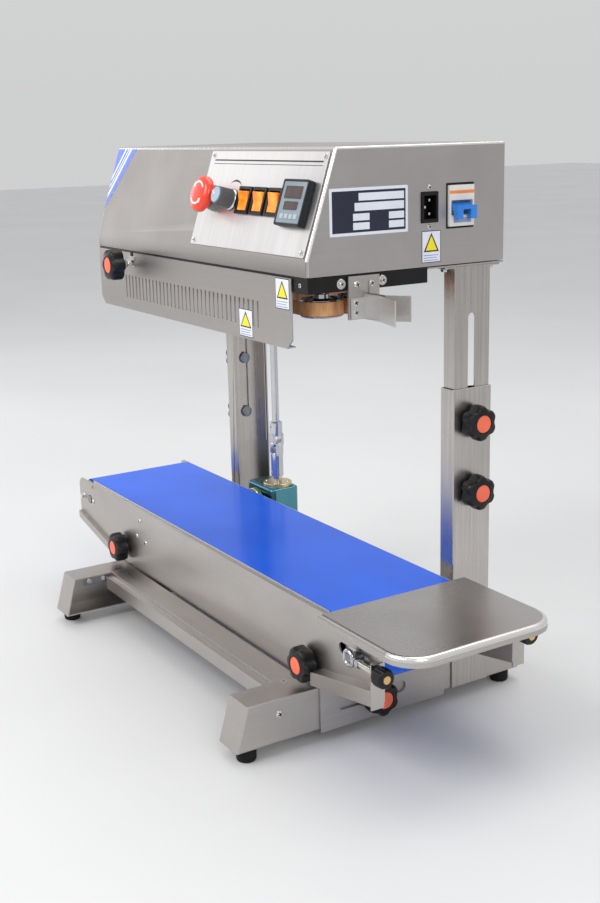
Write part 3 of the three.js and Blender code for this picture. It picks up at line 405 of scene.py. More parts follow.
class Piece:
    """One object. Its solids are added in machine millimetres, each with its own look."""

    def __init__(self, name, place=None):
        self.name = name
        self.mesh = bmesh.new()
        self.looks = []
        self.place = place or Matrix.Identity(4)

    def _store(self, part):
        store = bpy.data.meshes.new("part")
        part.to_mesh(store)
        part.free()
        self.mesh.from_mesh(store)
        bpy.data.meshes.remove(store)
        return self

    def _take(self, part, look, place, bevel=0.0, segments=2):
        if bevel:
            round_edges(part, sharp_edges(part, BEVEL_ANGLE), bevel, segments, True)
        part.transform(self.place @ (place or Matrix.Identity(4)))
        if look not in self.looks:
            self.looks.append(look)
        index = self.looks.index(look)
        for face in part.faces:
            face.material_index = index
        mark_creases(part)
        return self._store(part)

    def lathe(self, profile, look, place=None, sides=48, closed=False):
        """A turned solid from (radius, height) points; it closes on its axis unless it's a ring."""
        part = bmesh.new()
        rings = []
        for radius, height in profile:
            if radius < 1e-6:
                rings.append([part.verts.new((0, 0, height))])
            else:
                rings.append([part.verts.new((x, y, height)) for x, y in circle(radius, steps=sides)])
        pairs = list(zip(rings, rings[1:])) + ([(rings[-1], rings[0])] if closed else [])
        for low, high in pairs:
            for k in range(sides):
                n = (k + 1) % sides
                corners = [low[k % len(low)], low[n % len(low)], high[n % len(high)], high[k % len(high)]]
                unique = list(dict.fromkeys(corners))
                if len(unique) > 2:
                    part.faces.new(unique)
        if not closed:
            for ring in (rings[0], rings[-1]):
                if len(ring) > 1:
                    part.faces.new(ring)
        bmesh.ops.recalc_face_normals(part, faces=part.faces)
        return self._take(part, look, place)

    def slab(self, outline, span, look, place=None, holes=(), bevel=0.0, segments=2):
        """A flat outline, with holes, made solid between two heights."""
        part = bmesh.new()
        edges = []
        for line in (outline, *holes):
            ring = [part.verts.new((u, v, span[0])) for u, v in line]
            edges += [part.edges.new((ring[k - 1], ring[k])) for k in range(len(ring))]
        if holes:
            bmesh.ops.triangle_fill(part, edges=edges, use_beauty=True, use_dissolve=False)
        else:
            part.faces.new(ring)
        raised = bmesh.ops.extrude_face_region(part, geom=part.faces[:])
        lift = [v for v in raised["geom"] if isinstance(v, bmesh.types.BMVert)]
        bmesh.ops.translate(part, vec=(0, 0, span[1] - span[0]), verts=lift)
        bmesh.ops.recalc_face_normals(part, faces=part.faces)
        return self._take(part, look, place, bevel, segments)

    def block(self, x, y, z, look, place=None, bevel=0.3):
        return self.slab(rectangle(x, y), z, look, place, bevel=bevel)

    def tube(self, path, radius, look, sides):
        """A round bar along an open line of points."""
        part = bmesh.new()
        points = [Vector(p) for p in path]
        count = len(points)
        rings = []
        side = None
        for i, point in enumerate(points):
            ahead = points[i + 1] if i < count - 1 else point
            behind = points[i - 1] if i else point
            tangent = (ahead - behind).normalized()
            if side is None:
                side = tangent.orthogonal().normalized()
            side = (side - tangent * side.dot(tangent)).normalized()
            other = tangent.cross(side)
            around = circle(radius, steps=sides)
            rings.append([part.verts.new(point + side * x + other * y) for x, y in around])
        return self._cover(part, rings, look)

    def loft(self, loops, look):
        """A solid skin over closed loops of equally many (x, y, z) points, capped at both ends."""
        part = bmesh.new()
        rings = [[part.verts.new(p) for p in loop] for loop in loops]
        return self._cover(part, rings, look)

    def _cover(self, part, rings, look):
        count = len(rings[0])
        for low, high in zip(rings, rings[1:]):
            for k in range(count):
                n = (k + 1) % count
                part.faces.new([low[k], low[n], high[n], high[k]])
        part.faces.new(rings[0])
        part.faces.new(rings[-1])
        bmesh.ops.recalc_face_normals(part, faces=part.faces)
        return self._take(part, look, None)

    def node(self, name, look, bevel=0.4, segments=2, fold=None, radius=1.8, by_normal=None):
        """A copy of a CAD node with its flat faces joined up. fold picks the edges that are bent to a
        radius, the other sharp edges get a small bevel, and by_normal gives faces another look."""
        part = bmesh.new()
        part.from_mesh(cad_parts[name].data)
        part.transform(FROM_ROW)
        bmesh.ops.remove_doubles(part, verts=part.verts, dist=0.02)
        bmesh.ops.dissolve_limit(
            part, angle_limit=math.radians(0.6), verts=part.verts, edges=part.edges
        )
        folds = []
        if fold:
            bent = [edge for edge in sharp_edges(part, NODE_ANGLE) if fold(edge)]
            folds = round_edges(part, bent, radius, 5, False)["faces"]
        if bevel:
            round_edges(part, sharp_edges(part, NODE_ANGLE), bevel, segments, True)
        folds = [face for face in folds if face.is_valid]
        by_normal = by_normal or {}
        for each in (look, *by_normal, *(["fold"] if folds else [])):
            if each not in self.looks:
                self.looks.append(each)
        part.normal_update()
        for face in part.faces:
            face.material_index = self.looks.index(look)
            for other, test in by_normal.items():
                if test(face):
                    face.material_index = self.looks.index(other)
        # The bent faces take the lighter fold steel: a painted highlight along each fold.
        for face in folds:
            face.material_index = self.looks.index("fold")
        mark_creases(part, folds)
        return self._store(part)

    def done(self, body, slot, replaces=()):
        data = bpy.data.meshes.new(self.name)
        self.mesh.transform(TO_ROW)
        self.mesh.to_mesh(data)
        self.mesh.free()
        for look in self.looks:
            data.materials.append(LOOK[look])
        thing = bpy.data.objects.new(self.name, data)
        bpy.context.scene.collection.objects.link(thing)
        even = thing.modifiers.new("even_shading", "WEIGHTED_NORMAL")
        even.keep_sharp = True
        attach(thing, body)
        if replaces:
            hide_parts(*replaces)
        return thing


def screw(piece, place, direction, radius=3.2, height=1.9, kind="cross", washer=0.0, look="screw"):
    """A screw or bolt head that stands on a face."""
    spot = at(place, direction, 25)
    if washer:
        rim = [(0, 0), (washer, 0), (washer, 0.6), (washer - 0.3, 0.9), (0, 0.9)]
        piece.lathe(rim, "screw", spot, 40)
        spot = spot @ Matrix.Translation((0, 0, 0.9))
    if kind == "hex":
        piece.slab(circle(radius * 1.1, steps=6), (0, height * 1.4), look, spot, bevel=0.35)
        return
    dome = [(radius, height * 0.35), (radius * 0.82, height * 0.8), (radius * 0.4, height), (0, height)]
    piece.lathe([(0, 0), (radius, 0), *dome], look, spot, 32)
    wide, far = radius * 0.15, radius * 0.6
    sink = (height * 0.7, height * 1.02)
    piece.block((-far, far), (-wide, wide), sink, "gap", spot, bevel=0)
    if kind == "cross":
        piece.block((-wide, wide), (-far, far), sink, "gap", spot, bevel=0)


def skin(node, body, slot, look, **options):
    """A CAD node with its edges rounded, in its own place."""
    return Piece(node + "_skin").node(node, look, **options).done(body, slot, [node])


def dress(node, look):
    """A material for a CAD node that stays as it is."""
    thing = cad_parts[node]
    if not thing.material_slots:
        thing.data.materials.append(LOOK[look])
    for slot in thing.material_slots:
        slot.material = LOOK[look]


# ---- star knobs ----
KNOB_SECTIONS = [  # radius, share of it that the valleys lose, height
    (7.6, 0, 0), (9.6, 0, 0.3), (9.9, 0, 2.4), (14.8, 0.03, 2.9), (18.4, 0.15, 3.3), (19.5, 0.17, 4.4),
    (20, 0.175, 6.5), (20, 0.175, 13.5), (19.6, 0.17, 16.6), (18.6, 0.15, 18.6), (17, 0.11, 19.6),
    (14.6, 0.05, 20.1), (12.4, 0, 20.3), (11.4, 0, 20.8), (10.6, 0, 20.8), (10.1, 0, 20.4), (10, 0, 19.2),
]
KNOB_CAP = [(0, 19.2), (9.7, 19.2), (9.7, 19.9), (9.2, 20.3), (5, 20.5), (0, 20.6)]


def star_knob(node, place, direction, stud, stud_radius=4.0, head=0.0, extra=None):
    """A six-lobed knob with a pressed-in cap, on a plated stud. Its body has its node's name."""
    piece = Piece(node + "_grip", at(place, direction))
    piece.loft(fluted(KNOB_SECTIONS, 6, 120, 1.6), "black")
    piece.lathe(KNOB_CAP, "cap")
    piece.lathe([(0, -stud), (stud_radius, -stud), (stud_radius, 0.5), (0, 0.5)], "chrome", sides=28)
    piece.lathe([(4, 0), (8.6, 0), (8.6, 0.9), (8, 1.2), (4, 1.2)], "screw", closed=True)
    if head:
        low = -stud - head
        dome = [(0, low), (5.5, low), (7.6, low + 1.2), (8, -stud - 0.8), (7.8, -stud), (0, -stud)]
        piece.lathe(dome, "steel_dark")
    if extra:
        extra(piece)
    piece.done(node, "black_plastic", [node])


def build_knobs():
    for level, z in CLAMP_Z.items():
        star_knob(f"clamp_right_{level}", (0.3, 211.8, z), (1, 0, 0), 4.9, head=3.5)
        star_knob(f"clamp_left_{level}", (2 * MID_X - 0.3, 211.8, z), (-1, 0, 0), 4.9, head=3.5)
    for side, x in (("left", 2 * MID_X + 16.8), ("right", -16.8)):
        star_knob(f"lift_knob_{side}", (x, 4.6, 89.4), (0, -1, 0), 5.2)
    star_knob("slide_knob", (0.7, 77, 38), (1, 0, 0), 8)

    def spring_and_nut(piece):
        piece.slab(circle(6.4, steps=6), (-4.6, -0.4), "chrome", bevel=0.4)
        turns = []
        for k in range(50):
            angle = k / 10 * math.tau
            turns.append((4.4 * math.cos(angle), 4.4 * math.sin(angle), -5.4 - k * 0.13))
        piece.tube(turns, 0.5, "screw", 10)

    star_knob("pressure_knob", (-408, -15, 488), (0, -1, 0), 37, 3.2, extra=spring_and_nut)


# ---- base ----
def within(edge, test):
    return all(test(*vertex.co) for vertex in edge.verts)


def foot_fold(edge):
    """The web's bent rim, away from the hole in its middle."""
    def on_rim(x, y, z):
        outer = x > -2.4 or x < 2 * MID_X + 2.4
        return outer and (z < 15 or z > 64 or y < -60 or y > 255)
    return within(edge, on_rim)


def post_fold(edge):
    """The outer post's two bent corners, and the outer faces' long edges."""
    def on_corner(x, y, z):
        outer = x > -0.1 or x < 2 * MID_X + 0.1
        return outer and (y < 185.4 or y > 238.8)
    return within(edge, on_corner)


def build_base():
    for side in ("right", "left"):
        # The feet's and posts' folds take the lighter fold steel: a painted highlight.
        skin(f"foot_{side}", "base", "frame_steel", "sheet_y", bevel=0.5, fold=foot_fold, radius=1.9)
        skin(f"post_outer_{side}", "base", "frame_steel", "sheet_z", bevel=0.4, fold=post_fold, radius=1.8)
    for side in ("front", "rear"):
        skin(f"rail_{side}", "base", "frame_steel", "sheet_x", bevel=0.8)
    rubber = [
        (0, 0), (8.6, 0), (10, 0.5), (10.8, 1.8), (11, 4), (11, 12.6), (10.6, 13.8), (10, 14.1), (0, 14.1),
    ]
    for y, row in ((-80, "front"), (269, "rear")):
        for x, side in ((-14.7, "right"), (2 * MID_X + 14.7, "left")):
            pad = Piece(f"pad_{row}_{side}_moulding", Matrix.Translation((x, y, 0)))
            pad.lathe(rubber, "rubber").lathe([(0, 0), (3.4, 0.05), (0, 0.4)], "zinc")
            pad.done("base", "rubber_foot", [f"pad_{row}_{side}"])
    fixings = Piece("base_fixings")
    screw(fixings, (FOOT_FACE, -45, 47.3), (1, 0, 0), 4.2)
    screw(fixings, (FOOT_FACE, 256, 47.3), (1, 0, 0), 3.6)
    for x in (-37, 2 * MID_X + 37):
        flush = Matrix.Translation((x, -18, FOOT_TOP))
        fixings.lathe([(0, 0), (3.4, 0), (3.4, 0.05), (3.1, 0.08), (0, 0.08)], "screw", flush, 32)
        for u, v in ((0.5, 2.1), (2.1, 0.5)):
            fixings.block((-u, u), (-v, v), (0.02, 0.09), "gap", flush, bevel=0)
        screw(fixings, (x, 256, FOOT_TOP), (0, 0, 1), 3.2)
    fixings.block((-480.5, -478.5), (-68, -30), (50, 62.4), "steel_dark")
    for y in (-60, -39):
        screw(fixings, (-478.5, y, 56.5), (1, 0, 0), 2.5, kind="hex", washer=3.8)
    fixings.done("base", "screw_steel")


# ---- head: sheet metal ----
def hood_edge(edge):
    """The hood's outer folds and end seams, without its bottom rim."""
    corners = [
        (0, HOOD_LOW), (HOOD_REAR, HOOD_LOW), (HOOD_REAR, HOOD_TOP), (SLOPE_TOP_Y, HOOD_TOP), (0, FOLD_Z),
    ]
    ends = []
    for vertex in edge.verts:
        x, y, z = vertex.co
        if min(abs(x), abs(x - HOOD_LEFT)) > 0.1:
            return False
        near = [i for i, (cy, cz) in enumerate(corners) if math.hypot(y - cy, z - cz) < 0.1]
        if not near:
            return False
        ends.append(near[0])
    return not (set(ends) <= {0, 1})


def build_hood():
    hood = Piece("hood_shell")
    # Faces that look along X take the lighter copy of the hood steel: painted light on the end faces.
    hood.node(
        "hood", "hood", bevel=0.2, fold=hood_edge, radius=2.6,
        by_normal={"hood_end": lambda face: abs(face.normal.x) > 0.7},
    )
    hood.done("head", "hood_steel", ["hood"])
    skin("base_plate", "head", "frame_steel", "sheet_x", bevel=0.3)
    skin("seal_housing", "head", "black_paint", "paint", bevel=0.7)
    for side in ("right", "left"):
        skin(f"post_inner_{side}", "head", "frame_steel", "sheet_z", bevel=0.4)
    small = Piece("head_fixings")
    for x in (-11, 2 * MID_X + 11):
        for y in (180.6, 243):
            screw(small, (x, y, 498.3), (0, 0, -1), 3.6, kind="hex", washer=5)
    for y, z in ((40.6, 494.5), (91.4, 494.5)):
        screw(small, (0, y, z), (1, 0, 0), 3.0, 2.0, washer=5.2)
    for y, z in ((58, 493), (76, 493), (56, 474.5), (56, 464.5)):
        screw(small, (2.8, y, z), (1, 0, 0), 3.5, 2.2)
    for x in (-14, -250, -500):
        screw(small, (x, 1, 495), (0, -1, 0), 2.4, 1.2)
    small.done("head", "screw_steel")
    decal = Piece("corner_decal", SLOPE)
    decal.slab([(-511.5, 34), (-456, 112.6), (-511.5, 112.6)], (0.02, 0.12), "label_blue")
    for low, wide, high in ((47, 5, -470), (60, 2.5, -478), (70, 4, -486)):
        stripe = [(-511.5, low), (high, 112.6), (high - wide, 112.6), (-511.5, low + wide * 1.6)]
        decal.slab(stripe, (0.12, 0.2), "label")
    decal.done("head", "label_blue")


def build_guard():
    guard = Piece("guard_sheet").node("guard", "guard", bevel=0.35)
    guard.done("head", "frame_steel", ["guard"])
    labels = Piece("guard_labels", FRONT)
    hazard_tag(labels, -58.5, -31.5, 468.5, 500, 1.22)
    hazard_tag(labels, -137, -108, 430.5, 460.5, 1.22)
    labels.done("head", "label_white")
    clip = Piece("pressure_clip", FRONT)
    clip.slab(rectangle((-416, -400), (491.8, 497), 1), (1.25, 2.4), "screw", bevel=0.25)
    clip.done("head", "screw_steel")


def hazard_tag(piece, left, right, low, high, face):
    """A white tag with a plain yellow triangle over blank lines."""
    mid = (left + right) / 2
    base = low + (high - low) * 0.34
    tip = high - 2.2
    half = (right - left) * 0.4
    layers = (
        (rectangle((left, right), (low, high), 0.8), "ink"),
        (rectangle((left + 0.8, right - 0.8), (low + 0.8, high - 0.8)), "label"),
        ([(mid - half, base), (mid + half, base), (mid, tip)], "ink"),
        ([(mid - half + 2.6, base + 1.5), (mid + half - 2.6, base + 1.5), (mid, tip - 3)], "label_yellow"),
    )
    for k, (outline, look) in enumerate(layers):
        piece.slab(outline, (face + 0.06 * k, face + 0.06 * (k + 1)), look)
    for k in range(3):
        v = low + 2 + 2.6 * k
        line = rectangle((left + 2.5, right - 3.5 - 2 * (k % 2)), (v, v + 0.9))
        piece.slab(line, (face + 0.12, face + 0.18), "label_grey")


def band_loop(radius, centre):
    """A band's closed path from above, around its two wheels."""
    path = []
    for x, way in ((WHEEL_X["right"], 1), (WHEEL_X["left"], -1)):
        for k in range(29):
            angle = math.pi * k / 28
            path.append((x + way * radius * math.sin(angle), centre - way * radius * math.cos(angle)))
    return path


def build_bands():
    rim = [(22, 457), (22.7, 457.5), (22.7, 458.4), (22.2, 458.9), (21.9, 459.1), (21.9, 473.9)]
    top = [
        (22.2, 474.1), (22.7, 474.6), (22.7, 475), (22, 475.5), (19, 475.5), (18, 474.6), (11, 474.6),
        (10, 475.5),
    ]
    boss = [(8.4, 475.9), (8, 479.9), (7.5, 480.5), (4, 480.5), (4, 512), (0, 512)]
    for end, x in WHEEL_X.items():
        for row, side in (("front", -1), ("rear", 1)):
            middle = Matrix.Translation((x, BAND_Y + side * BAND_OFFSET, 0))
            wheel = Piece(f"wheel_{row}_{end}_turned", middle)
            wheel.lathe([(0, 457), *rim, *top, *boss], "chrome", sides=72)
            wheel.slab(circle(7.4, steps=6), (480.4, 484.6), "screw", bevel=0.4)
            wheel.done(f"wheel_{row}_{end}", "polished_steel", [f"wheel_{row}_{end}"])
    for row, side in (("front", -1), ("rear", 1)):
        centre = BAND_Y + side * BAND_OFFSET
        band = Piece(f"band_{row}_cloth")
        inner = band_loop(22.25, centre)
        band.slab(band_loop(23, centre), (459.2, 473.8), "band", holes=[inner], bevel=0.15)
        band.done("head", "band_ptfe", [f"band_{row}"])


def build_guides():
    # The front guide takes the same lightened plate steel, with its painted reflected light.
    skin("guide_front", "head", "frame_steel", "plate", bevel=0.3)
    skin("guide_rear", "head", "frame_steel", "sheet_x", bevel=0.3)


# ---- head: controls on the slope ----
def arc_strip(centre, radius, width, start, end, taper=False):
    """A flat strip along a circle, between two angles in degrees."""
    outer, inner = [], []
    for k in range(25):
        share = k / 24
        angle = math.radians(start + (end - start) * share)
        half = width / 2 * (math.sin(math.pi * share) if taper else 1)
        half = max(half, 0.08)
        for edge, reach in ((outer, radius + half), (inner, radius - half)):
            edge.append((centre[0] + reach * math.cos(angle), centre[1] + reach * math.sin(angle)))
    return outer + inner[::-1]


def build_panel():
    plate = Piece("control_plate", SLOPE)
    switch_holes = [rectangle((u + 2, u + 25), (43, 69)) for u in (-160, -128.7, -97.4)]
    holes = [circle(11.3, STOP), circle(4.3, DIAL), rectangle((-62.5, -17), (33, 78.5))]
    plate.slab(
        rectangle((-247, -5), (3, 110), 2), (0.3, 1.5), "plate", holes=holes + switch_holes, bevel=0.25
    )
    for u in (-240, -10):
        for v in (7.8, 105):
            screw(plate, (u, v, 1.5), (0, 0, 1), 2.9, 1.3, kind="slot")
    plate.slab(rectangle((-236, -12), (99, 100.6)), (1.5, 1.58), "ink")
    plate.slab(rectangle((-236, -12), (95.4, 96.1)), (1.5, 1.58), "ink")
    plate.slab(arc_strip(DIAL, 21.2, 2.2, 122, 50, taper=True), (1.5, 1.58), "ink")
    collar = [
        (11.2, 1.4), (14.5, 1.5), (14.5, 2.8), (13.9, 3.4), (13.9, 7.4), (13.3, 9), (12.2, 10.3), (8, 10.5),
        (8, 1.4),
    ]
    plate.lathe(collar, "collar", Matrix.Translation((*STOP, 0)), 56, closed=True)
    plate.done("head", "panel_steel", ["control_panel"])


def build_buttons():
    stop = Piece("stop_mushroom", SLOPE @ Matrix.Translation((*STOP, 0)))
    dome = [
        (7.2, 9), (7.2, 16.2), (18.2, 16.5), (19.5, 17.1), (20, 18.4), (20, 20.6), (19.6, 22.8), (18.5, 24.8),
        (16.8, 26.1), (14.6, 26.8), (10, 27.3), (5, 27.45), (0, 27.5),
    ]
    stop.lathe([(0, 9), *dome], "red", sides=72)
    for half_turn in (0, 180):
        turn = Matrix.Rotation(math.radians(half_turn), 4, "Z")
        shaft = arc_strip((0, 0), 12.2, 2.0, 30, 132)
        stop.slab(shaft, (26.4, 27.35), "arrow", turn)
        head = []
        for radius, degrees in ((15.2, 130), (12.4, 152), (9.2, 130)):
            angle = math.radians(degrees)
            head.append((radius * math.cos(angle), radius * math.sin(angle)))
        stop.slab(head, (26.4, 27.35), "arrow", turn)
    stop.done("stop_button", "stop_red", ["stop_button"])

    speed = Piece("speed_dial", SLOPE @ Matrix.Translation((*DIAL, 0)))
    speed.lathe([(0, -8), (4, -8), (4, 1.8), (12, 1.8), (12, 2.7), (0, 2.7)], "black")
    speed.lathe([(0, 2.7), (11.8, 2.7), (11.6, 4), (11, 4.7), (0, 4.7)], "screw", sides=64)
    sections = [
        (10.8, 0, 4.7), (10.8, 0.05, 5.4), (10.5, 0.06, 9), (9.9, 0.06, 20), (9.6, 0.03, 21.6), (9, 0, 22.4),
    ]
    speed.loft(fluted(sections, 40, 240), "grey")
    speed.lathe([(0, 22.3), (8.7, 22.3), (8.5, 23.2), (7.9, 23.6), (0, 23.7)], "pale_blue")
    turn = Matrix.Rotation(math.radians(60), 4, "Z")
    speed.slab(rectangle((-0.8, 0.8), (1.5, 8.2)), (23.5, 23.8), "white", turn)
    speed.done("speed_knob", "knob_grey", ["speed_knob"])


def digits(piece, u, v, height, count, top):
    """Unlit seven-segment places, side by side."""
    width = height * 0.52
    bar = height * 0.1
    span = (top, top + 0.04)
    for k in range(count):
        left = u + k * width * 1.42
        for level in (0, 1, 2):
            low = v + level * (height - bar) / 2
            piece.slab(rectangle((left + bar, left + width - bar), (low, low + bar)), span, "segments")
        for side in (left, left + width - bar):
            for low in (v + bar, v + (height + bar) / 2):
                upright = (low, low + height / 2 - 1.5 * bar)
                piece.slab(rectangle((side, side + bar), upright), span, "segments")


def build_instruments():
    skin("switch_block", "head", "black_plastic", "black", bevel=0.5)
    for k in (1, 2, 3):
        skin(f"rocker_{k}", f"rocker_{k}", "rocker_orange", "rocker", bevel=0.8, segments=3)
    unit = Piece("controller_unit", SLOPE)
    unit.slab(rectangle((-61.5, -18), (34, 77.5)), (-58, 1.9), "case")
    unit.slab(rectangle((-63.5, -16), (32, 79.5), 2.5), (1.8, 8.6), "case", bevel=0.7)
    unit.slab(
        rectangle((-63.5, -16), (32, 79.5), 2.5), (8.5, 9.8), "case",
        holes=[rectangle((-61.5, -18), (34.5, 77.3), 1.5)], bevel=0.35,
    )
    unit.slab(rectangle((-61.3, -18.2), (34.7, 77.1), 1.4), (8.5, 9.3), "face", bevel=0.2)
    unit.slab(rectangle((-56, -23.5), (59.5, 72.5), 1), (9.2, 9.5), "display", bevel=0.1)
    unit.slab(rectangle((-53, -26.5), (48, 56.8), 1), (9.2, 9.5), "display", bevel=0.1)
    digits(unit, -51.5, 62, 8, 4, 9.5)
    digits(unit, -48, 49.8, 5, 4, 9.5)
    for k in range(4):
        u = -55.2 + 8.6 * k
        unit.slab(rectangle((u, u + 6.4), (39, 44), 1), (9, 9.9), "button", bevel=0.3)
    unit.done("head", "controller_case", ["temperature_controller"])


# ---- head: end panel ----
def build_end_panel():
    plate = Piece("name_plate", END)
    plate.slab(rectangle((28, 124), (541.5, 588.5), 1.5), (0.02, 0.5), "label", bevel=0.15)
    plate.slab(rectangle((31, 121), (544.5, 585.5), 0.6), (0.5, 0.56), "label_navy")
    fields = [((63, 119), (575.5, 583)), ((58, 119), (565.5, 573.5))]
    for v in (547, 556):
        fields += [((56, 76), (v, v + 7)), ((100, 119), (v, v + 7))]
    for u, v in fields:
        plate.slab(rectangle(u, v), (0.56, 0.62), "label")
    plate.done("head", "label_blue")

    tag = Piece("safety_tag", END)
    hazard_tag(tag, 142, 167, 507.5, 540.5, 0.02)
    tag.done("head", "label_white")

    inlet = Piece("inlet_socket").node("power_inlet", "matt", bevel=0.5)
    for k, y in ((-1, 155), (0, 149), (1, 155)):
        z = 564.5 + 7 * k
        inlet.block((-15, -3.6), (y - 1.3, y + 1.3), (z - 1.3, z + 1.3), "screw", bevel=0.3)
    for z in (584.5, 544.5):
        screw(inlet, (0, 152, z), (1, 0, 0), 2.7, 1.2)
    inlet.done("head", "black_plastic", ["power_inlet"])

    breaker = Piece("breaker_case").node("breaker", "white", bevel=0.7)
    surround = rectangle((174, 210.5), (541, 588), 1)
    inside = rectangle((175.7, 208.8), (543.2, 585.8))
    breaker.slab(surround, (0.02, 0.4), "matt", END, holes=[inside])
    breaker.slab(rectangle((175.8, 208.7), (576.9, 580.2)), (3.98, 4.08), "stripe", END)
    breaker.slab(rectangle((181, 204), (547, 552)), (3.98, 4.06), "label_grey", END)
    breaker.done("head", "white_plastic", ["breaker"])
    skin("breaker_toggle", "breaker_toggle", "toggle_blue", "blue", bevel=0.9, segments=3)


# ---- conveyor ----
BELT_THICKNESS = 1.5
SNUB_Z = 118.7
SNUB_RADIUS = 8
SNUB_GAP = 0.6


def belt_line(offset):
    """The belt's closed path seen from the front, a distance outside its inner face."""
    snub = -(SNUB_RADIUS + BELT_THICKNESS + SNUB_GAP)  # negative: the belt turns the other way
    wheels = [
        (TAIL_X, ROLLER_Z, ROLLER_RADIUS), (-465, SNUB_Z, snub), (*DRIVE, DRIVE_RADIUS),
        (-403, SNUB_Z, snub), (TENSION_X, ROLLER_Z, ROLLER_RADIUS),
    ]
    wheels = [(x, z, radius + offset) for x, z, radius in wheels]

    def heading(start, end):
        dx, dz = end[0] - start[0], end[1] - start[1]
        return math.atan2(dz, dx) - math.asin((end[2] - start[2]) / math.hypot(dx, dz))

    points = []
    for i, here in enumerate(wheels):
        x, z, radius = here
        turn = -math.pi / 2 if radius > 0 else math.pi / 2
        first = heading(wheels[i - 1], here) + turn
        last = heading(here, wheels[(i + 1) % len(wheels)]) + turn
        sweep = (last - first) % math.tau if radius > 0 else -((first - last) % math.tau)
        for k in range(37):
            angle = first + sweep * k / 36
            points.append((x + abs(radius) * math.cos(angle), z + abs(radius) * math.sin(angle)))
    return points


def build_belt():
    strips = Piece("belt_edge_strips")
    for y in ((9.3, 10.4), (169, 170.1)):
        strips.block((-612, 15), y, (150, 156.4), "bright", bevel=0.3)
    strips.done("conveyor", "frame_steel")
    belt = Piece("belt_cover", FRONT)
    belt.slab(belt_line(BELT_THICKNESS), (-168.7, -10.7), "belt", holes=[belt_line(0)], bevel=0.3)
    belt.done("conveyor", "belt_pvc", ["belt"])
    for node, look in (
        ("belt_bed", "sheet_x"), ("tail_roller", "steel_dark"), ("drive_roller", "aluminium"),
        ("tension_roller", "aluminium"), ("gear_motor", "cast"), ("seal_bar_front", "aluminium"),
        ("seal_bar_rear", "aluminium"),
    ):
        dress(node, look)


def tray_edge(edge):
    """The tray's top outer rim."""
    for vertex in edge.verts:
        x, y, z = vertex.co
        on_side = y < -8.3 or y > 187.5 or x > 138.5
        if abs(z - 159) > 0.05 or not on_side:
            return False
    return True


def build_conveyor():
    for row in ("front", "rear"):
        skin(f"side_plate_{row}", "conveyor", "frame_steel", "sheet_x", bevel=0.5)
    skin("carriage", "carriage", "frame_steel", "sheet_y", bevel=0.5)
    # The tray's rolled rim takes the lighter fold steel: a painted highlight.
    tray = Piece("tray_sheet").node("tray", "tray", bevel=0.3, fold=tray_edge, radius=4.8)
    tray.done("conveyor", "polished_steel", ["tray"])
    small = Piece("conveyor_fixings")
    for y, way in SIDE_FACES:
        for x, z in ((-444.9, 137.8), (-457, 113.8), (-429.2, 110.5)):
            screw(small, (x, y, z), (0, way, 0), 3, 1.8)
        screw(small, (-642, y, 127), (0, way, 0), 3.6, 2.4, kind="hex", washer=5)
        screw(small, (-607, y, 126), (0, way, 0), 3.2, 1.8)
        screw(small, (-606, y, 148), (0, way, 0), 3.2, 0.9, look="brass")
    flange = [(22, 158), (22, 149), (27, 139), (111, 139), (114, 142), (114, 158)]
    small.slab(flange, (-4.6, -2.9), "sheet_x", FRONT, bevel=0.3)
    for x in (37, 103.5):
        screw(small, (x, 2.9, 144), (0, -1, 0), 3, 1.8)
    small.done("conveyor", "screw_steel")


def build_gearbox():
    box = Piece("gearbox_casting")
    box.slab(rectangle((-458, -388), (179, 224), 9, 8), (103, 163), "teal", bevel=2.2, segments=3)
    box.slab(rectangle((-453, -393), (183, 220), 7, 8), (161, 164.6), "teal", bevel=0.8)
    flange = [(0, 163), (20, 163), (20, 167.2), (19.2, 168), (9.4, 168.4), (7, 168.4), (0, 168.4)]
    box.lathe(flange, "zinc", Matrix.Translation((*SHAFT, 0)), 64)
    for turn in (45, 135, 225, 315):
        x = 15.5 * math.cos(math.radians(turn))
        y = 15.5 * math.sin(math.radians(turn))
        screw(box, (SHAFT[0] + x, SHAFT[1] + y, 168), (0, 0, 1), 1.9, 1.2)
    face = at((DRIVE[0], 180, DRIVE[1]), (0, -1, 0))
    box.lathe([(0, 0), (22, 0), (22, 4), (21.2, 4.9), (8, 5), (0, 5)], "zinc", face, 64)
    box.done("conveyor", "gearbox_teal", ["gearbox"])


def build_shaft():
    shaft = Piece("drive_shaft_turned", Matrix.Translation((*SHAFT, 0)))
    shaft.lathe([(0, 135), (6, 135), (6, 177), (0, 177)], "chrome")
    shaft.lathe(
        [(0, 176.4), (8, 176.4), (8.7, 177.2), (8.7, 208.6), (8.1, 209.6), (0, 209.6)], "chrome", sides=56
    )
    shaft.lathe([(0, 234.4), (8.1, 234.4), (8.7, 235.4), (8.7, 253), (8, 254), (0, 254)], "chrome", sides=56)
    shaft.lathe([(0, 253), (4.9, 253), (4.9, 508), (0, 508)], "chrome", sides=40)
    for z, along in ((214.8, 0), (229.2, 90)):
        turn = Matrix.Rotation(math.radians(along), 4, "Z")
        spread = -1 if along == 0 else 1
        for side in (-1, 1):
            arm = softened([(-6, -10), (6, -10), (6, 10), (-6, 10)], 5, 6, closed=True)
            stand = Matrix((
                (0, 0, 1, side * 6.5 - 1.9), (1, 0, 0, 0), (0, 1, 0, z - spread * 0.6), (0, 0, 0, 1),
            ))
            shaft.slab(arm, (0, 3.8), "chrome", turn @ stand, bevel=0.5)
        pin = at((-8.7, 0, 222), (1, 0, 0))
        shaft.lathe([(0, 0), (2.6, 0), (3, 0.4), (3, 17), (2.6, 17.4), (0, 17.4)], "screw", turn @ pin, 28)
    shaft.block((-6, 6), (-6, 6), (217.5, 226.5), "chrome", bevel=1.2)
    for z in (182, 248):
        screw(shaft, (0, -8.6, z), (0, -1, 0), 1.9, 0.6, kind="slot")
    shaft.done("drive_shaft", "polished_steel", ["drive_shaft"])


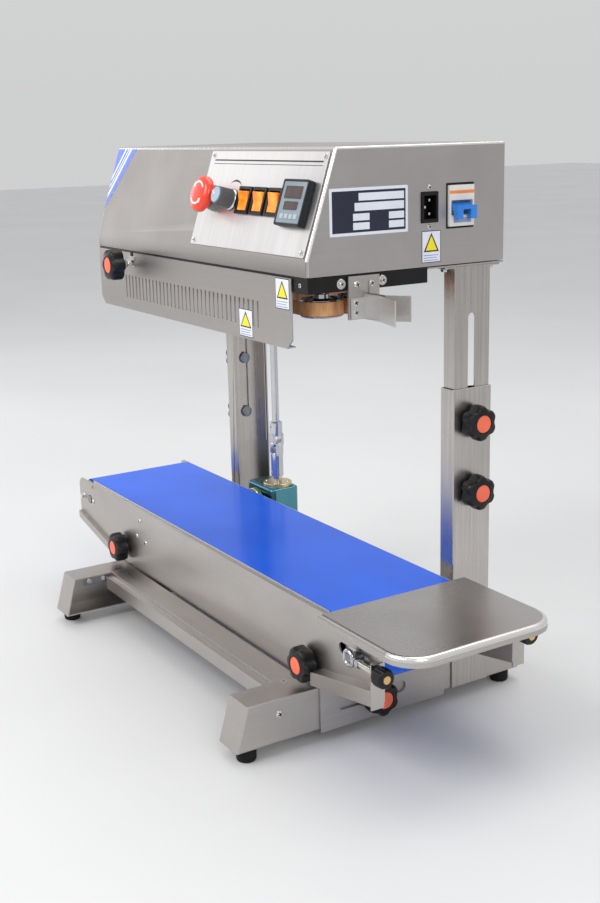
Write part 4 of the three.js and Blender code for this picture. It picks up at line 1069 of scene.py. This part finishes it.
def build_tension():
    axle = Piece("tension_axle_turned")
    across = at((TENSION_X, -5.8, ROLLER_Z), (0, 1, 0))
    axle.lathe([(0, 0), (4.9, 0), (4.9, 191), (0, 191)], "steel_dark", across, 40)
    for y in TENSION_Y:
        rod = at((0, y, ROLLER_Z), (1, 0, 0))
        ring = [(7.4 + 2.6 * math.cos(a), 3 * math.sin(a)) for a in [math.tau * k / 20 for k in range(20)]]
        axle.lathe(ring, "chrome", at((TENSION_X, y, ROLLER_Z), (0, 1, 0)), 56, closed=True)
        axle.lathe([(0, 77), (3, 77), (3, 131), (0, 131)], "screw", rod, 28)
        for x in (78, 84.6):
            axle.slab(circle(5.5, steps=6), (x, x + 5.4), "chrome", rod, bevel=0.5)
        for k in range(18):
            x = 91 + 1.3 * k
            axle.lathe([(2.9, x), (3.25, x + 0.35), (2.9, x + 0.7)], "screw", rod, 24, closed=True)
    axle.done("tension_axle", "polished_steel", ["tension_axle"])
    sections = [
        (8.4, 0, 0), (9.6, 0.04, 0.9), (10.4, 0.09, 2.6), (10.5, 0.1, 7), (10.4, 0.09, 12),
        (9.8, 0.04, 13.8), (8.6, 0, 14.8), (4, 0, 15),
    ]
    for row, y in zip(("front", "rear"), TENSION_Y):
        knob = Piece(f"tension_knob_{row}_grip", at((120, y, ROLLER_Z), (1, 0, 0)))
        knob.loft(fluted(sections, 16, 144), "black")
        knob.lathe([(0, 14.9), (4.4, 14.9), (4.2, 15.6), (0, 15.7)], "brass")
        knob.done(f"tension_knob_{row}", "black_plastic", [f"tension_knob_{row}"])


build_base()
build_knobs()
build_hood()
build_guard()
build_bands()
build_guides()
build_panel()
build_buttons()
build_instruments()
build_end_panel()
build_belt()
build_conveyor()
build_gearbox()
build_shaft()
build_tension()


# ---- stage, light and camera ----
def build_floor():
    nodes = Nodes("pale_floor")
    cloud = nodes.spread(nodes.noise(1.5, 3), 0, 1)
    nodes.colour(nodes.blend(cloud, (0.64, 0.64, 0.64, 1), (0.68, 0.68, 0.678, 1)))
    nodes.set(Roughness=0.55)
    mesh = bpy.data.meshes.new("floor")
    reach = 14
    corners = [(-reach, -reach, 0), (reach, -reach, 0), (reach, reach, 0), (-reach, reach, 0)]
    mesh.from_pydata(corners, [], [(0, 1, 2, 3)])
    mesh.materials.append(nodes.material)
    floor = bpy.data.objects.new("floor", mesh)
    bpy.context.scene.collection.objects.link(floor)


def softbox(name, place, aim, size, power):
    light = bpy.data.lights.new(name, "AREA")
    light.shape = "RECTANGLE"
    light.size, light.size_y = size
    light.energy = power
    thing = bpy.data.objects.new(name, light)
    thing.location = place
    thing.rotation_euler = (Vector(aim) - Vector(place)).to_track_quat("-Z", "Y").to_euler()
    bpy.context.scene.collection.objects.link(thing)


def build_light():
    world = bpy.data.worlds.new("studio")
    world.use_nodes = True
    tree = world.node_tree
    place = tree.nodes.new("ShaderNodeTexCoord")
    split = tree.nodes.new("ShaderNodeSeparateXYZ")
    ramp = tree.nodes.new("ShaderNodeValToRGB")
    tree.links.new(place.outputs["Generated"], split.inputs["Vector"])
    tree.links.new(split.outputs["Z"], ramp.inputs["Fac"])
    tree.links.new(ramp.outputs["Color"], tree.nodes["Background"].inputs["Color"])
    ramp.color_ramp.elements[0].color = (0.78, 0.783, 0.788, 1)
    ramp.color_ramp.elements[1].position = 0.8
    ramp.color_ramp.elements[1].color = (0.95, 0.96, 0.98, 1)
    tree.nodes["Background"].inputs["Strength"].default_value = 0.8
    bpy.context.scene.world = world
    softbox("key", (-0.2, -2.4, 2.3), (0, 0, 0.3), (2.0, 1.4), 52)
    softbox("fill", (2.7, -0.6, 1.9), (0, 0, 0.3), (1.2, 1.4), 16)
    softbox("top", (-0.3, 0.7, 2.7), (0, 0, 0.3), (2.2, 1.6), 24)
    softbox("edge", (-2.4, -0.6, 0.9), (0, 0, 0.4), (0.7, 1.2), 5)
    bpy.context.scene.view_settings.view_transform = "Standard"


def build_camera():
    right = Vector((0.53017942, 0.84752804, -0.02461699))
    up = Vector((-0.19950925, 0.15291796, 0.96789057))
    back = right.cross(up)
    data = bpy.data.cameras.new("camera")
    data.lens = 49.82
    camera = bpy.data.objects.new("camera", data)
    place = Matrix.Translation((1.2847, -0.7518, 0.6465))
    camera.matrix_world = place @ Matrix((right, up, back)).transposed().to_4x4()
    bpy.context.scene.collection.objects.link(camera)
    bpy.context.scene.camera = camera


build_floor()
build_light()
build_camera()
